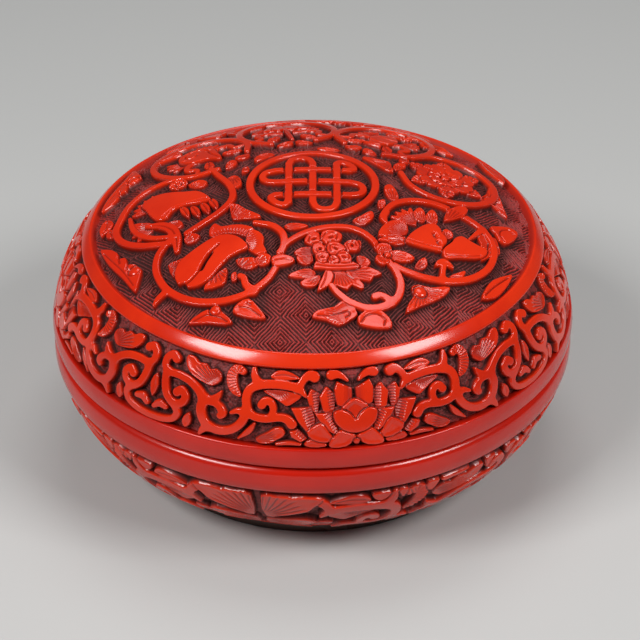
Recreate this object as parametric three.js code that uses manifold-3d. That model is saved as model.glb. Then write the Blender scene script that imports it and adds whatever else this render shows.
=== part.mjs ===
// Round carved-lacquer box with a lift-off lid.
// Each half is a turned wooden core under a thick carved red coat, with a black lacquered
// inside. A lacquered rim closes each mouth, a collar in the base locates the lid, and the
// base stands on a foot ring. Millimetres, +Z up, origin on the table under the centre.
import * as THREE from "three";
import { mergeVertices } from "three/addons/utils/BufferGeometryUtils.js";
import Module from "manifold-3d";

const wasm = await Module();
wasm.setup();

// Driving dimensions
const mouthRadius = 60; // outside, at the mouth, where the box is widest
const lidRise = 36; // mouth plane to the crown of the lid
const domeRadius = 109.4; // the top of the lid is a shallow spherical cap
const lidSideRadius = 33.75; // section radius of the lid's rounded side
const baseSideRadius = 31.3; // section radius of the base's rounded side
const bowlFlat = 1.3; // how much of the core's round bottom is turned off flat
const floorThickness = 5.4; // core and lining together, at the bottom of the bowl

// Layers of the wall, from outside to inside
const coatThickness = 2.8; // the red lacquer, before carving
const carvingDepth = 1.9; // how far the ground is cut below the coat's surface
const lidCoreThickness = 3;
const baseCoreThickness = 3.8;
const liningThickness = 0.7;
const bondGap = 0.3; // bond line between neighbouring layers

// Rims, collar and foot
const lidRimHeight = 5.4;
const baseRimHeight = 6.6;
const rimCapThickness = 1.2; // the part of a rim that covers the end of the core
const rimRounding = 0.9; // rounded edges along the parting line
const seatGap = 0.2; // parting line between the two rims
const collarClearance = 0.35; // radial, so that the lid slides over the collar
const collarThickness = 1.8;
const mouthCoreThickness = 2.85; // what the lid's rebate leaves of its core
const collarRise = 5.5; // above the mouth plane
const collarSeatDepth = 8; // below it, down to a ledge in the core
const collarLead = 0.6; // chamfer that guides the lid
const rebateCeiling = 1.4; // room above the collar inside the lid
const footHeight = 4.1; // table to the core's underside
const footSetIn = 18; // from the mouth's outside to the foot's outside
const footWidth = 3.5;
const footChamfer = 0.5;
const undersideThickness = 0.8;

// Carved borders
const medallionRadius = 15; // outside of the round frame at the crown
const medallionFrameWidth = 1.8;
const beadWidth = 3.5; // smooth ring round the top field, measured along the section
const beadCrown = 0.4; // how far the ring swells above the coat's surface
const footBorderWidth = 2.5; // plain border of the base, next to the foot
const wallLean = 0.35; // how far a carved wall leans over its depth

// Raised carving
const carvingRoot = 0.4; // how far a raised shape reaches below the ground it stands on
const underlap = 0.2; // a stem that passes under another lies this much lower
const leafDrop = 0.4; // leaves lie lower than stems and emblems
const loopWidth = 1.9; // stems that loop round the emblems of the top field
const knotWidth = 1.8;
const knotSpan = 5.4; // between neighbouring lines of the knot
const scrollWidth = 2.1; // stems of the shoulder and the base
const lidRepeats = 4; // blossoms round the shoulder
const baseRepeats = 3; // leaf sprays round the base
const lidAxis = 9; // degrees to the right of the front, where a blossom stands
const baseAxis = -12;

// Facets
const turns = 32; // round the axis
const curveSteps = 3; // along each curve of a section
const roundingSteps = 2;

const vermilion = { color: 0xc8210f, roughness: 0.32, metalness: 0 };
const blackLacquer = { color: 0x17120f, roughness: 0.22, metalness: 0 };
const turnedWood = { color: 0xb98d5c, roughness: 0.75, metalness: 0 };

// Section points are (distance from the axis, height above the mouth plane).
const point = (radius, height) => new THREE.Vector2(radius, height);
const between = (from, to, steps, place) =>
  Array.from({ length: steps + 1 }, (_, i) => place(from + ((to - from) * i) / steps));

// The curves of the outside, each with an inset towards the inside
const domeCentre = lidRise - domeRadius;
const lidSideCentre = mouthRadius - lidSideRadius;
const baseSideCentre = mouthRadius - baseSideRadius;
const domeHeight = (inset, radius) => domeCentre + Math.sqrt((domeRadius - inset) ** 2 - radius ** 2);
const onDome = (inset, radius) => point(radius, domeHeight(inset, radius));
const onArc = (centre, radius, angle) =>
  point(centre + radius * Math.cos(angle), radius * Math.sin(angle));
const onLidSide = (inset, angle) => onArc(lidSideCentre, lidSideRadius - inset, angle);
const onBaseSide = (inset, angle) => onArc(baseSideCentre, baseSideRadius - inset, angle);
const lidAngleAt = (inset, height) => Math.asin(height / (lidSideRadius - inset));
const baseAngleAt = (inset, height) => Math.asin(height / (baseSideRadius - inset));
const baseAngleOut = (inset, radius) =>
  -Math.acos((radius - baseSideCentre) / (baseSideRadius - inset));

// Angle on the lid's side at the corner where the dome meets it.
function cornerAngle(inset) {
  const dome = domeRadius - inset;
  const side = lidSideRadius - inset;
  const span = Math.hypot(lidSideCentre, domeCentre);
  const cosine = (span ** 2 + side ** 2 - dome ** 2) / (2 * span * side);
  return Math.atan2(domeCentre, -lidSideCentre) + Math.acos(cosine);
}

const domeCurve = (inset, from, to) =>
  between(from, to, curveSteps, (radius) => onDome(inset, radius));
const lidSideCurve = (inset, from, to) =>
  between(from, to, curveSteps, (angle) => onLidSide(inset, angle));
const baseSideCurve = (inset, from, to) =>
  between(from, to, curveSteps, (angle) => onBaseSide(inset, angle));

// One layer of the lid from the crown down to a height on its side.
function lidCurve(inset, lowest) {
  const corner = cornerAngle(inset);
  return [
    ...domeCurve(inset, 0, onLidSide(inset, corner).x),
    ...lidSideCurve(inset, corner, lidAngleAt(inset, lowest)).slice(1),
  ];
}

// Rounded outer edge of a rim, from its flat face round to its side; up is 1 or -1.
function roundedEdge(outside, face, up) {
  return between(0, Math.PI / 2, roundingSteps, (angle) =>
    point(
      outside - rimRounding * (1 - Math.sin(angle)),
      face + up * rimRounding * (1 - Math.cos(angle)),
    ),
  );
}

// A body turned from a section. The section runs with its solid on the left hand side.
function turned(name, section, finish) {
  const geometry = new THREE.LatheGeometry([...section, section[0].clone()], turns);
  geometry.rotateX(Math.PI / 2);
  const mesh = new THREE.Mesh(geometry, new THREE.MeshStandardMaterial(finish));
  mesh.name = name;
  return mesh;
}

// Placing of flat outlines: turned, mirrored and moved copies of a list of points
function placed(points, { at = [0, 0], turn = 0, mirror = false, size = 1 } = {}) {
  const move = new THREE.Vector2(...at);
  const origin = new THREE.Vector2();
  return points.map(([x, y]) =>
    point(mirror ? -x : x, y)
      .multiplyScalar(size)
      .rotateAround(origin, THREE.MathUtils.degToRad(turn))
      .add(move),
  );
}

// Outline of a stem of even width along a path.
function stemOutline(path, width) {
  const across = path.map((_, i) => {
    const before = path[Math.max(i - 1, 0)];
    const after = path[Math.min(i + 1, path.length - 1)];
    const along = after.clone().sub(before).normalize();
    return point(-along.y, along.x).multiplyScalar(width / 2);
  });
  const left = path.map((place, i) => place.clone().add(across[i]));
  const right = path.map((place, i) => place.clone().sub(across[i]));
  return [...left, ...right.reverse()];
}

function solidOf(positions, triangles) {
  return new wasm.Manifold(
    new wasm.Mesh({
      numProp: 3,
      vertProperties: Float32Array.from(positions),
      triVerts: Uint32Array.from(triangles),
    }),
  );
}

// A raised shape: an outline draped over a curved surface, from its top down into the ground.
function raised(outline, drape, drop = 0) {
  const edge = THREE.ShapeUtils.isClockWise(outline) ? [...outline].reverse() : outline;
  const count = edge.length;
  const positions = [drop, carvingDepth + carvingRoot].flatMap((inset) =>
    edge.flatMap((place) => drape(inset, place).toArray()),
  );
  const triangles = THREE.ShapeUtils.triangulateShape(edge, []).flatMap(([a, b, c]) => [
    ...[a, b, c],
    ...[a + count, c + count, b + count],
  ]);
  edge.forEach((_, i) => {
    const next = (i + 1) % count;
    triangles.push(i, i + count, next + count, i, next + count, next);
  });
  return solidOf(positions, triangles);
}

// A turned coat with raised shapes joined to it.
function carved(coat, shapes) {
  const plain = coat.geometry;
  plain.deleteAttribute("normal");
  plain.deleteAttribute("uv");
  const merged = mergeVertices(plain);
  const corners = merged.index.array;
  const triangles = [];
  for (let i = 0; i < corners.length; i += 3) {
    const [a, b, c] = corners.slice(i, i + 3);
    if (a !== b && b !== c && c !== a) triangles.push(a, b, c);
  }
  const start = solidOf(merged.attributes.position.array, triangles);
  const whole = shapes.reduce((solid, shape) => solid.add(shape), start).getMesh();
  const geometry = new THREE.BufferGeometry();
  geometry.setAttribute("position", new THREE.BufferAttribute(whole.vertProperties.slice(), 3));
  geometry.setIndex(new THREE.BufferAttribute(whole.triVerts.slice(), 1));
  geometry.computeVertexNormals();
  coat.geometry = geometry;
  return coat;
}

// Radii and heights that several pieces share
const coreOutside = coatThickness + bondGap;
const rebateRadius = mouthRadius - coreOutside - mouthCoreThickness;
const boreRadius = rebateRadius - bondGap - liningThickness; // runs over the collar
const collarOutside = boreRadius - collarClearance;
const collarInside = collarOutside - collarThickness;
const collarSeatRadius = collarOutside + bondGap;
const lidCapHeight = seatGap + rimCapThickness;
const bowlDepth = baseSideRadius - coreOutside - bowlFlat; // mouth plane to the core's underside
const floorDepth = bowlDepth - floorThickness; // mouth plane to the floor inside
const mouthHeight = bowlDepth + footHeight; // table to the mouth plane
const footRadius = mouthRadius - footSetIn;
const lidCoreInside = coreOutside + lidCoreThickness;
const baseCoreInside = coreOutside + baseCoreThickness;
const lidLiningOutside = lidCoreInside + bondGap;
const baseLiningOutside = baseCoreInside + bondGap;
const liningStep = collarRise + rebateCeiling; // the rebate's ceiling, at the lining's back
const beadTop = cornerAngle(0);
const beadEnd = beadTop - beadWidth / lidSideRadius;
const fieldRadius = onLidSide(0, beadTop).x; // edge of the top field

// Carving of the top field, drawn for a field 50 mm in radius: right of the middle, and away
// from the front.
const fieldSize = fieldRadius / 50;
const onField = (inset, { x, y }) =>
  new THREE.Vector3(x, y, domeHeight(inset, Math.hypot(x, y)));

const loops = [
  {
    path: [[-12.6, -15.2], [-7.6, -17.6], [-6.2, -23.6], [-9.4, -31.6], [-17.6, -36.6], [-27.2, -34.6],
      [-33.2, -27.6], [-33.7, -19.8], [-31, -15.6]],
    drop: 0,
  },
  {
    path: [[-6.6, -24.4], [-2.6, -19.8], [5.2, -17.2], [12.4, -20], [16.4, -26.8], [18.8, -32.2],
      [16.6, -37.6], [11.4, -39.4], [4.8, -35.4]],
    drop: underlap,
  },
  {
    path: [[15.6, -13.4], [18.2, -7], [26, -4.1], [34.2, -6.8], [39.3, -12.2], [39.4, -19.4],
      [34.6, -26.4], [26.6, -29.4], [17.6, -27.4]],
    drop: 0,
  },
  {
    path: [[-23.2, 10.4], [-19, 1.6], [-18.2, -6], [-22, -11], [-27.6, -15]],
    drop: underlap,
  },
  {
    path: [[-30.6, 8.6], [-38.2, 6.8], [-43, -0.6], [-43.2, -9.6], [-38.2, -15], [-31.6, -16.9]],
    drop: underlap,
  },
];
const ringPoints = (radius, from, to, steps) =>
  between(from, to, steps, (turn) => {
    const angle = THREE.MathUtils.degToRad(turn);
    return [radius * Math.cos(angle), radius * Math.sin(angle)];
  });
const backLoop = ringPoints(11.3, -60, 240, 8);
const peony = ringPoints(6.6, 0, 315, 7);
const vase = [[-1.6, 5.6], [-1.2, 3.4], [-3.1, 0.4], [-2, -5.8], [2, -5.8], [3.1, 0.4], [1.2, 3.4],
  [1.6, 5.6]];
const parasol = [[-5.4, 1], [-0.8, 1.4], [-0.8, -7], [0.8, -7], [0.8, 1.4], [5.4, 1], [0, 6.8]];
const shell = [[-4.2, 3], [-3.8, -0.4], [-0.4, -5.6], [4.6, 0.2], [3.4, 4.6], [-1, 5.8]];
const backEmblems = [
  { outline: peony, at: [30.4, 9.4], turn: -108, drop: underlap },
  { outline: vase, at: [16.8, 27], turn: -32, drop: 0 },
  { outline: parasol, at: [-6.2, 31.4], turn: 11, drop: underlap },
  { outline: shell, at: [-25.8, 19.4], turn: 53, drop: 0 },
];
const gourd = [[-29, -25], [-25.6, -20.8], [-19.8, -17.8], [-14.4, -21.4], [-18, -25.2], [-22, -30.2],
  [-27.6, -31.2]];
const flowerBowl = [[0.3, -29.4], [1.4, -26.6], [7.2, -26.8], [9.8, -28.8]];
const twinLeft = [[20.2, -19.8], [22.4, -15.4], [26.4, -12.1], [29, -15], [28.2, -20.8]];
const twinRight = [[29.8, -18], [32.8, -14.1], [38.2, -16], [36.8, -19.6], [29.2, -22.6]];
const leafFan = [[-38.6, 0.4], [-34.6, 3.2], [-26, 0.6], [-22.8, -4], [-30.6, -4.9], [-34, -7.8]];
const emblems = [gourd, flowerBowl, twinLeft, twinRight, leafFan];
const emblemLeaves = [
  [[-13.6, -17.4], [-11, -18.4], [-10.6, -24.2], [-12.8, -24.6]],
  [[-1.6, -22.8], [4.6, -19.4], [10.2, -23.2], [6.6, -25.4], [1.6, -25.2]],
  [[-5, -31.6], [14.4, -30.2], [11, -33.4], [1.4, -35.2]],
  [[14.6, -18.6], [16.4, -14.2], [20, -13], [20.4, -17.6]],
  [[-36.6, -9.6], [-32.4, -11.6], [-30.4, -14.6], [-30, -11]],
];
const edgeLeaves = [
  [[0, -41.5], [6, -40.6], [16.4, -41.6], [13.4, -43.8], [5.5, -43.7]],
  [[36.5, -31], [38.6, -25.4], [43.5, -21.5], [40.8, -28]],
  [[20, -38.5], [21.8, -31.6], [29, -31]],
  [[-26, -40], [-22, -38.4], [-17, -41.8]],
  [[-16.2, -39.4], [-13.8, -37.8], [-10, -41.5]],
];
const leafChain = [[-47, -11], [-43.8, -13.2], [-38, -24.4], [-38.6, -28.2], [-43, -20.8]];

// One endless line woven in three rows and three columns.
function knotLines() {
  const end = 8.4;
  const turn = 9.8;
  const furthest = 11.3;
  const row = [
    ...[[end, knotSpan], [-turn, knotSpan], [-furthest, knotSpan / 2], [-turn, 0]],
    ...[[turn, 0], [furthest, -knotSpan / 2], [turn, -knotSpan], [-end, -knotSpan]],
  ];
  const column = row.map(([x, y]) => [-y, x]);
  const corner = [[-end, -knotSpan], [-8.3, -8.3], [-knotSpan, -end]];
  return [
    { path: row, drop: 0 },
    { path: column, drop: underlap },
    { path: corner, drop: underlap / 2 },
    { path: corner.map(([x, y]) => [-x, -y]), drop: underlap / 2 },
  ];
}

function fieldCarving() {
  const stem = ({ path, drop }, width, place = {}) =>
    raised(stemOutline(placed(path, { size: fieldSize, ...place }), width), onField, drop);
  const shape = (outline, drop, place = {}) =>
    raised(placed(outline, { size: fieldSize, ...place }), onField, drop);
  const moved = ({ at, turn }) => ({ at: at.map((value) => value * fieldSize), turn });
  return [
    ...loops.map((loop) => stem(loop, loopWidth)),
    ...backEmblems.map((emblem) => stem({ path: backLoop, drop: emblem.drop }, loopWidth, moved(emblem))),
    ...backEmblems.map((emblem) => shape(emblem.outline, 0, moved(emblem))),
    ...emblems.map((outline) => shape(outline, 0)),
    ...emblemLeaves.map((outline) => shape(outline, leafDrop)),
    ...knotLines().map((line) => stem(line, knotWidth)),
    ...edgeLeaves.map((outline) => shape(outline, leafDrop)),
    ...[62, 128, 196].flatMap((turn) =>
      edgeLeaves.slice(0, 1).map((outline) => shape(outline, leafDrop, { turn })),
    ),
    shape(leafChain, leafDrop),
    ...[-172, 106].map((turn) => shape(leafChain, leafDrop, { turn, mirror: true })),
  ];
}

// Scroll carving of the sides: half of one repeat, in degrees from its axis for a repeat of
// 90 degrees, and in mm up a band that runs from 5.7 to 22.9.
const bandLow = 5.7;
const bandHigh = 22.9;
const repeatHalf = 45;
const scrollStems = [
  [[12, 18.8], [19.6, 19.3], [23.2, 16], [23.4, 11.4], [27.6, 8], [32.6, 10.8], [34.6, 15.6], [41.8, 17.6],
    [42, 20.8]],
  [[42.4, 17], [41.4, 12.4], [37.6, 11.8], [38.4, 14.4]],
];
const scrollLeaves = [[[29.6, 18.6], [32, 20.8], [38.4, 22], [37.4, 19], [31, 17.1]]];
const blossomPetals = [
  [[4.9, 7.4], [10.4, 9.6], [13, 9], [8.6, 6.4]],
  [[5, 10.6], [8.8, 14], [12.3, 14.1], [10, 10.4]],
  [[0.5, 15.6], [2.1, 19.6], [7.4, 17], [6, 13.6]],
];
const blossomCup = [[0, 12.2], [3.4, 14], [3.6, 10.8], [0, 7.4], [-3.6, 10.8], [-3.4, 14]];
const fanLeaves = [
  [[0.7, 22], [9.6, 21.8], [6.8, 17.8], [0.9, 15.4]],
  [[0.8, 14.2], [8.6, 13.6], [4.6, 7], [0.6, 6.4]],
  [[13.2, 9.2], [15.6, 10.2], [20.6, 7.2], [17.6, 6.5]],
];

const stemEdges = (path) => stemOutline(placed(path), scrollWidth).map(({ x, y }) => [x, y]);

function scrollCarving(repeats, axis, centre, onSide) {
  const spread = 180 / repeats / repeatHalf;
  const drape = (inset, { x, y }) => {
    const side = onSide(inset, (y - bandLow) / (bandHigh - bandLow));
    const turn = THREE.MathUtils.degToRad(x);
    return new THREE.Vector3(side.x * Math.cos(turn), side.x * Math.sin(turn), side.y);
  };
  const shapes = [];
  for (let i = 0; i < repeats; i += 1) {
    const middle = axis - 90 + (360 * i) / repeats;
    for (const hand of [1, -1]) {
      const lay = (list) => list.map(([x, y]) => point(middle + hand * spread * x, y));
      scrollStems.forEach((path, j) => {
        shapes.push(raised(lay(stemEdges(path)), drape, j % 2 ? underlap : 0));
      });
      [...scrollLeaves, ...centre.halves].forEach((outline) => {
        shapes.push(raised(lay(outline), drape, leafDrop));
      });
    }
    centre.wholes.forEach((outline) => {
      shapes.push(raised(outline.map(([x, y]) => point(middle + spread * x, y)), drape));
    });
  }
  return shapes;
}

// The lid

function lidCarvedCoat() {
  const lowest = lidRimHeight + bondGap;
  const frameInside = medallionRadius - medallionFrameWidth;
  const fieldEdge = fieldRadius - wallLean;
  const bead = between(beadTop, beadEnd, curveSteps, (angle) => {
    const along = (beadTop - angle) / (beadTop - beadEnd);
    return onLidSide(-beadCrown * Math.sin(Math.PI * along), angle);
  });
  const bandTop = beadEnd - wallLean / lidSideRadius;
  const outside = [
    onDome(carvingDepth, 0),
    onDome(carvingDepth, frameInside - wallLean),
    onDome(0, frameInside),
    onDome(0, medallionRadius),
    ...domeCurve(carvingDepth, medallionRadius + wallLean, fieldEdge),
    ...bead,
    ...lidSideCurve(carvingDepth, bandTop, lidAngleAt(carvingDepth, lowest)),
  ];
  const inside = lidCurve(coatThickness, lowest).reverse();
  const coat = turned("lid_carved_coat", [...outside, ...inside].reverse(), vermilion);
  const onShoulder = (inset, up) => {
    const low = lidAngleAt(inset, lowest);
    return onLidSide(inset, low + (bandTop - low) * up);
  };
  const blossom = { halves: blossomPetals, wholes: [blossomCup] };
  return carved(coat, [...fieldCarving(), ...scrollCarving(lidRepeats, lidAxis, blossom, onShoulder)]);
}

function lidRim() {
  const legTop = lidAngleAt(0, lidRimHeight);
  const legTopInside = lidAngleAt(coatThickness, lidRimHeight);
  const legBottomInside = lidAngleAt(coatThickness, lidCapHeight);
  const section = [
    point(boreRadius, seatGap),
    ...roundedEdge(mouthRadius, seatGap, 1),
    onLidSide(0, legTop),
    onLidSide(coatThickness, legTopInside),
    onLidSide(coatThickness, legBottomInside),
    point(boreRadius, lidCapHeight),
  ];
  return turned("lid_rim", section, vermilion);
}

function lidCore() {
  const lowest = lidCapHeight + bondGap;
  const ceiling = liningStep + bondGap;
  const section = [
    point(rebateRadius, lowest),
    ...lidCurve(coreOutside, lowest).reverse(),
    ...lidCurve(lidCoreInside, ceiling),
    point(rebateRadius, ceiling),
  ];
  return turned("lid_core", section, turnedWood);
}

function lidLining() {
  const lowest = lidCapHeight + bondGap;
  const lowerStep = liningStep - liningThickness;
  const back = boreRadius + liningThickness;
  const section = [
    point(boreRadius, lowest),
    point(back, lowest),
    point(back, liningStep),
    ...lidCurve(lidLiningOutside, liningStep).reverse(),
    ...lidCurve(lidLiningOutside + liningThickness, lowerStep),
    point(boreRadius, lowerStep),
  ];
  return turned("lid_lining", section, blackLacquer);
}

// The base

function baseCarvedCoat() {
  const highest = -(baseRimHeight + bondGap);
  const footEdge = footRadius + bondGap;
  const lowest = baseAngleOut(0, footEdge);
  const borderTop = lowest + footBorderWidth / baseSideRadius;
  const section = [
    ...baseSideCurve(0, lowest, borderTop),
    ...baseSideCurve(
      carvingDepth,
      borderTop + wallLean / baseSideRadius,
      baseAngleAt(carvingDepth, highest),
    ),
    ...baseSideCurve(
      coatThickness,
      baseAngleAt(coatThickness, highest),
      baseAngleOut(coatThickness, footEdge),
    ),
  ];
  const coat = turned("base_carved_coat", section, vermilion);
  const onBand = (inset, up) => {
    const high = baseAngleAt(inset, highest);
    return onBaseSide(inset, borderTop + (high - borderTop) * up);
  };
  const spray = { halves: fanLeaves, wholes: [] };
  return carved(coat, scrollCarving(baseRepeats, baseAxis, spray, onBand));
}

function baseRim() {
  const section = [
    point(collarSeatRadius, -rimCapThickness),
    onBaseSide(coatThickness, baseAngleAt(coatThickness, -rimCapThickness)),
    onBaseSide(coatThickness, baseAngleAt(coatThickness, -baseRimHeight)),
    onBaseSide(0, baseAngleAt(0, -baseRimHeight)),
    ...roundedEdge(mouthRadius, 0, -1).reverse(),
    point(collarSeatRadius, 0),
  ];
  return turned("base_rim", section, vermilion);
}

function baseCore() {
  const highest = -(rimCapThickness + bondGap);
  const floor = -(floorDepth + liningThickness + bondGap);
  const bottom = baseAngleAt(coreOutside, -bowlDepth);
  const section = [
    point(0, -bowlDepth),
    ...baseSideCurve(coreOutside, bottom, baseAngleAt(coreOutside, highest)),
    point(collarSeatRadius, highest),
    point(collarSeatRadius, -collarSeatDepth),
    ...baseSideCurve(
      baseCoreInside,
      baseAngleAt(baseCoreInside, -collarSeatDepth),
      baseAngleAt(baseCoreInside, floor),
    ),
    point(0, floor),
  ];
  return turned("base_core", section, turnedWood);
}

function baseLining() {
  const floor = -floorDepth;
  const back = floor - liningThickness;
  const face = baseLiningOutside + liningThickness;
  const section = [
    point(0, back),
    ...baseSideCurve(
      baseLiningOutside,
      baseAngleAt(baseLiningOutside, back),
      baseAngleAt(baseLiningOutside, -collarSeatDepth),
    ),
    ...baseSideCurve(face, baseAngleAt(face, -collarSeatDepth), baseAngleAt(face, floor)),
    point(0, floor),
  ];
  return turned("base_lining", section, blackLacquer);
}

function baseCollar() {
  const seat = bondGap - collarSeatDepth;
  const section = [
    point(collarInside, seat),
    point(collarOutside, seat),
    point(collarOutside, collarRise - collarLead),
    point(collarOutside - collarLead, collarRise),
    point(collarInside + collarLead, collarRise),
    point(collarInside, collarRise - collarLead),
  ];
  return turned("base_collar", section, blackLacquer);
}

function footRing() {
  const inside = footRadius - footWidth;
  const seat = coreOutside - bondGap;
  const underCore = (radius) => onBaseSide(seat, baseAngleOut(seat, radius));
  const section = [
    point(inside + footChamfer, -mouthHeight),
    point(footRadius - footChamfer, -mouthHeight),
    point(footRadius, footChamfer - mouthHeight),
    underCore(footRadius),
    underCore(inside),
    point(inside, footChamfer - mouthHeight),
  ];
  return turned("foot_ring", section, blackLacquer);
}

function undersideCoat() {
  const back = -(bowlDepth + bondGap);
  const edge = footRadius - footWidth - bondGap;
  const section = [
    point(0, back - undersideThickness),
    point(edge, back - undersideThickness),
    point(edge, back),
    point(0, back),
  ];
  return turned("underside_coat", section, blackLacquer);
}

const lid = new THREE.Group();
lid.name = "lid";
lid.position.z = mouthHeight;
lid.add(lidCarvedCoat(), lidRim(), lidCore(), lidLining());

const base = new THREE.Group();
base.name = "base";
base.position.z = mouthHeight;
base.add(
  baseCarvedCoat(),
  baseRim(),
  baseCore(),
  baseLining(),
  baseCollar(),
  footRing(),
  undersideCoat(),
);

const box = new THREE.Group();
box.name = "carved_lacquer_box";
box.add(lid, base);

export default box;
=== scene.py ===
import bpy
import math
import numpy as np
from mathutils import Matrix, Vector


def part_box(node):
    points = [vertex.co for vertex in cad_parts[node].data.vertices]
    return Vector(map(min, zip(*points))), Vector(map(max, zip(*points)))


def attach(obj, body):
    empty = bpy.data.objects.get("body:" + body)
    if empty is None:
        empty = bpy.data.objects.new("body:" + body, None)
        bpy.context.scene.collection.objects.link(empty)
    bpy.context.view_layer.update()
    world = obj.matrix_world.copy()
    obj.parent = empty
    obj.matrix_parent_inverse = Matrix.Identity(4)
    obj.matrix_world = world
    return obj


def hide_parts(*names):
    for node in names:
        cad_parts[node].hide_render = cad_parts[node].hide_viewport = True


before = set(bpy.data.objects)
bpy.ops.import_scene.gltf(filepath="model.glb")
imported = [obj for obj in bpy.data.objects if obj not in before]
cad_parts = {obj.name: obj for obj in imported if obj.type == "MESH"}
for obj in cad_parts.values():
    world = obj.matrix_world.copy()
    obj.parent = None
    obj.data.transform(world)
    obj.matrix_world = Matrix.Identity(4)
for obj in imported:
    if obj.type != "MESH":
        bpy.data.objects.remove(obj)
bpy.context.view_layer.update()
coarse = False
scene = bpy.context.scene
mm = 0.001
print("frame loaded:", len(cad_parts), "nodes")


# The outside of the box in mm; heights count from the mouth plane
rimLow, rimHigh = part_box("base_rim")
shape = {
    "mouthRadius": (rimHigh[0] - rimLow[0]) / 2 / mm,
    "mouthHeight": rimHigh[2] / mm,
    "lidRise": 36.0,  # mouth plane to the crown
    "domeRadius": 109.4,
    "lidSideRadius": 33.75,  # section radius of the lid's side
    "baseSideRadius": 31.3,  # section radius of the base's side
    "coatThickness": 2.8,  # red lacquer before carving
    "carvingDepth": 1.9,  # surface down to the ground
    "lidRimHeight": 5.4,
    "baseRimHeight": 6.6,
    "bondGap": 0.3,
}
domeCentre = shape["lidRise"] - shape["domeRadius"]
lidSideCentre = shape["mouthRadius"] - shape["lidSideRadius"]
baseSideCentre = shape["mouthRadius"] - shape["baseSideRadius"]


def cornerAngle(inset):  # on the lid's side, where the dome meets it
    dome = shape["domeRadius"] - inset
    side = shape["lidSideRadius"] - inset
    span = math.hypot(lidSideCentre, domeCentre)
    cosine = (span**2 + side**2 - dome**2) / (2 * span * side)
    return math.atan2(domeCentre, -lidSideCentre) + math.acos(cosine)


# Camera, light and floor
view = {
    "distance": 500.0,  # mm, from the middle of the mouth
    "elevation": 33.8,  # degrees
    "roll": 0.15,
    "focal": 2150.0,  # pixels of a 640 wide picture
    "picture": 640.0,
    "mouthAt": (312.7, 313.5),  # pixel where the middle of the mouth shows
    "sensor": 36.0,  # mm
    "nearest": 0.01,  # m
}


def addCamera():
    rise = math.radians(view["elevation"])
    away = Vector((0, -math.cos(rise), math.sin(rise)))
    right = Vector((1, 0, 0))
    up = Vector((0, math.sin(rise), math.cos(rise)))
    mouth = Vector((0, 0, shape["mouthHeight"])) * mm
    perPixel = view["distance"] / view["focal"] * mm
    middle = view["picture"] / 2
    aim = mouth + right * (middle - view["mouthAt"][0]) * perPixel
    aim -= up * (middle - view["mouthAt"][1]) * perPixel
    camera = bpy.data.objects.new("camera", bpy.data.cameras.new("camera"))
    scene.collection.objects.link(camera)
    camera.location = mouth + away * view["distance"] * mm
    look = (aim - camera.location).to_track_quat("-Z", "Y").to_euler()
    look.rotate_axis("Z", math.radians(view["roll"]))
    camera.rotation_euler = look
    camera.data.sensor_width = view["sensor"]
    camera.data.lens = view["focal"] / view["picture"] * view["sensor"]
    camera.data.clip_start = view["nearest"]
    scene.camera = camera


studio = {
    "target": (0, 0, 0.03),  # what the lamps point at
    "sky": (0.8, 0.82, 0.85, 1),
    "skyStrength": 0.10,
    "floorHalf": 4.0,  # m
    "floor": (0.48, 0.48, 0.47, 1),
    "floorRoughness": 0.85,
}
lamps = [  # azimuth from the front, elevation, distance m; size m
    {"name": "softbox_left", "place": (-50, 45, 0.75), "size": (0.32, 0.22), "watts": 4.0},
    {"name": "softbox_right", "place": (55, 44, 0.75), "size": (0.32, 0.22), "watts": 3.4},
    {"name": "softbox_top", "place": (165, 74, 0.80), "size": (0.4, 0.4), "watts": 1.8},
]


def addLight():
    for lamp in lamps:
        azimuth, elevation, distance = lamp["place"]
        turn, rise = math.radians(azimuth), math.radians(elevation)
        light = bpy.data.lights.new(lamp["name"], "AREA")
        light.shape = "RECTANGLE"
        light.size, light.size_y = lamp["size"]
        light.energy = lamp["watts"]
        piece = bpy.data.objects.new(lamp["name"], light)
        scene.collection.objects.link(piece)
        level = math.cos(rise)
        out = Vector((math.sin(turn) * level, -math.cos(turn) * level, math.sin(rise)))
        piece.location = Vector(studio["target"]) + out * distance
        piece.rotation_euler = (-out).to_track_quat("-Z", "Y").to_euler()
    world = bpy.data.worlds.new("studio")
    world.use_nodes = True
    sky = world.node_tree.nodes["Background"]
    sky.inputs["Color"].default_value = studio["sky"]
    sky.inputs["Strength"].default_value = studio["skyStrength"]
    scene.world = world
    scene.view_settings.view_transform = "Standard"


def addFloor():
    mesh = bpy.data.meshes.new("floor")
    half = studio["floorHalf"]
    corners = [(-half, -half, 0), (half, -half, 0), (half, half, 0), (-half, half, 0)]
    mesh.from_pydata(corners, [], [(0, 1, 2, 3)])
    floor = bpy.data.objects.new("floor", mesh)
    scene.collection.objects.link(floor)
    paper, _, shader = newMaterial("pale_paper")
    shader.inputs["Base Color"].default_value = studio["floor"]
    shader.inputs["Roughness"].default_value = studio["floorRoughness"]
    mesh.materials.append(paper)


def newMaterial(name):
    material = bpy.data.materials.new(name)
    material.use_nodes = True
    tree = material.node_tree
    return material, tree, tree.nodes["Principled BSDF"]


addCamera()
addLight()
addFloor()
print("camera, light and floor set")


# Shader groups that several finishes share
def newGroup(name, inputs, outputs):
    group = bpy.data.node_groups.new(name, "ShaderNodeTree")
    for label, kind, value in inputs:
        socket = group.interface.new_socket(label, in_out="INPUT", socket_type=kind)
        socket.default_value = value
    for label, kind in outputs:
        group.interface.new_socket(label, in_out="OUTPUT", socket_type=kind)
    start = group.nodes.new("NodeGroupInput")
    end = group.nodes.new("NodeGroupOutput")
    return group, start, end


def addNode(tree, kind, **settings):
    node = tree.nodes.new(kind)
    for key, value in settings.items():
        setattr(node, key, value)
    return node


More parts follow.
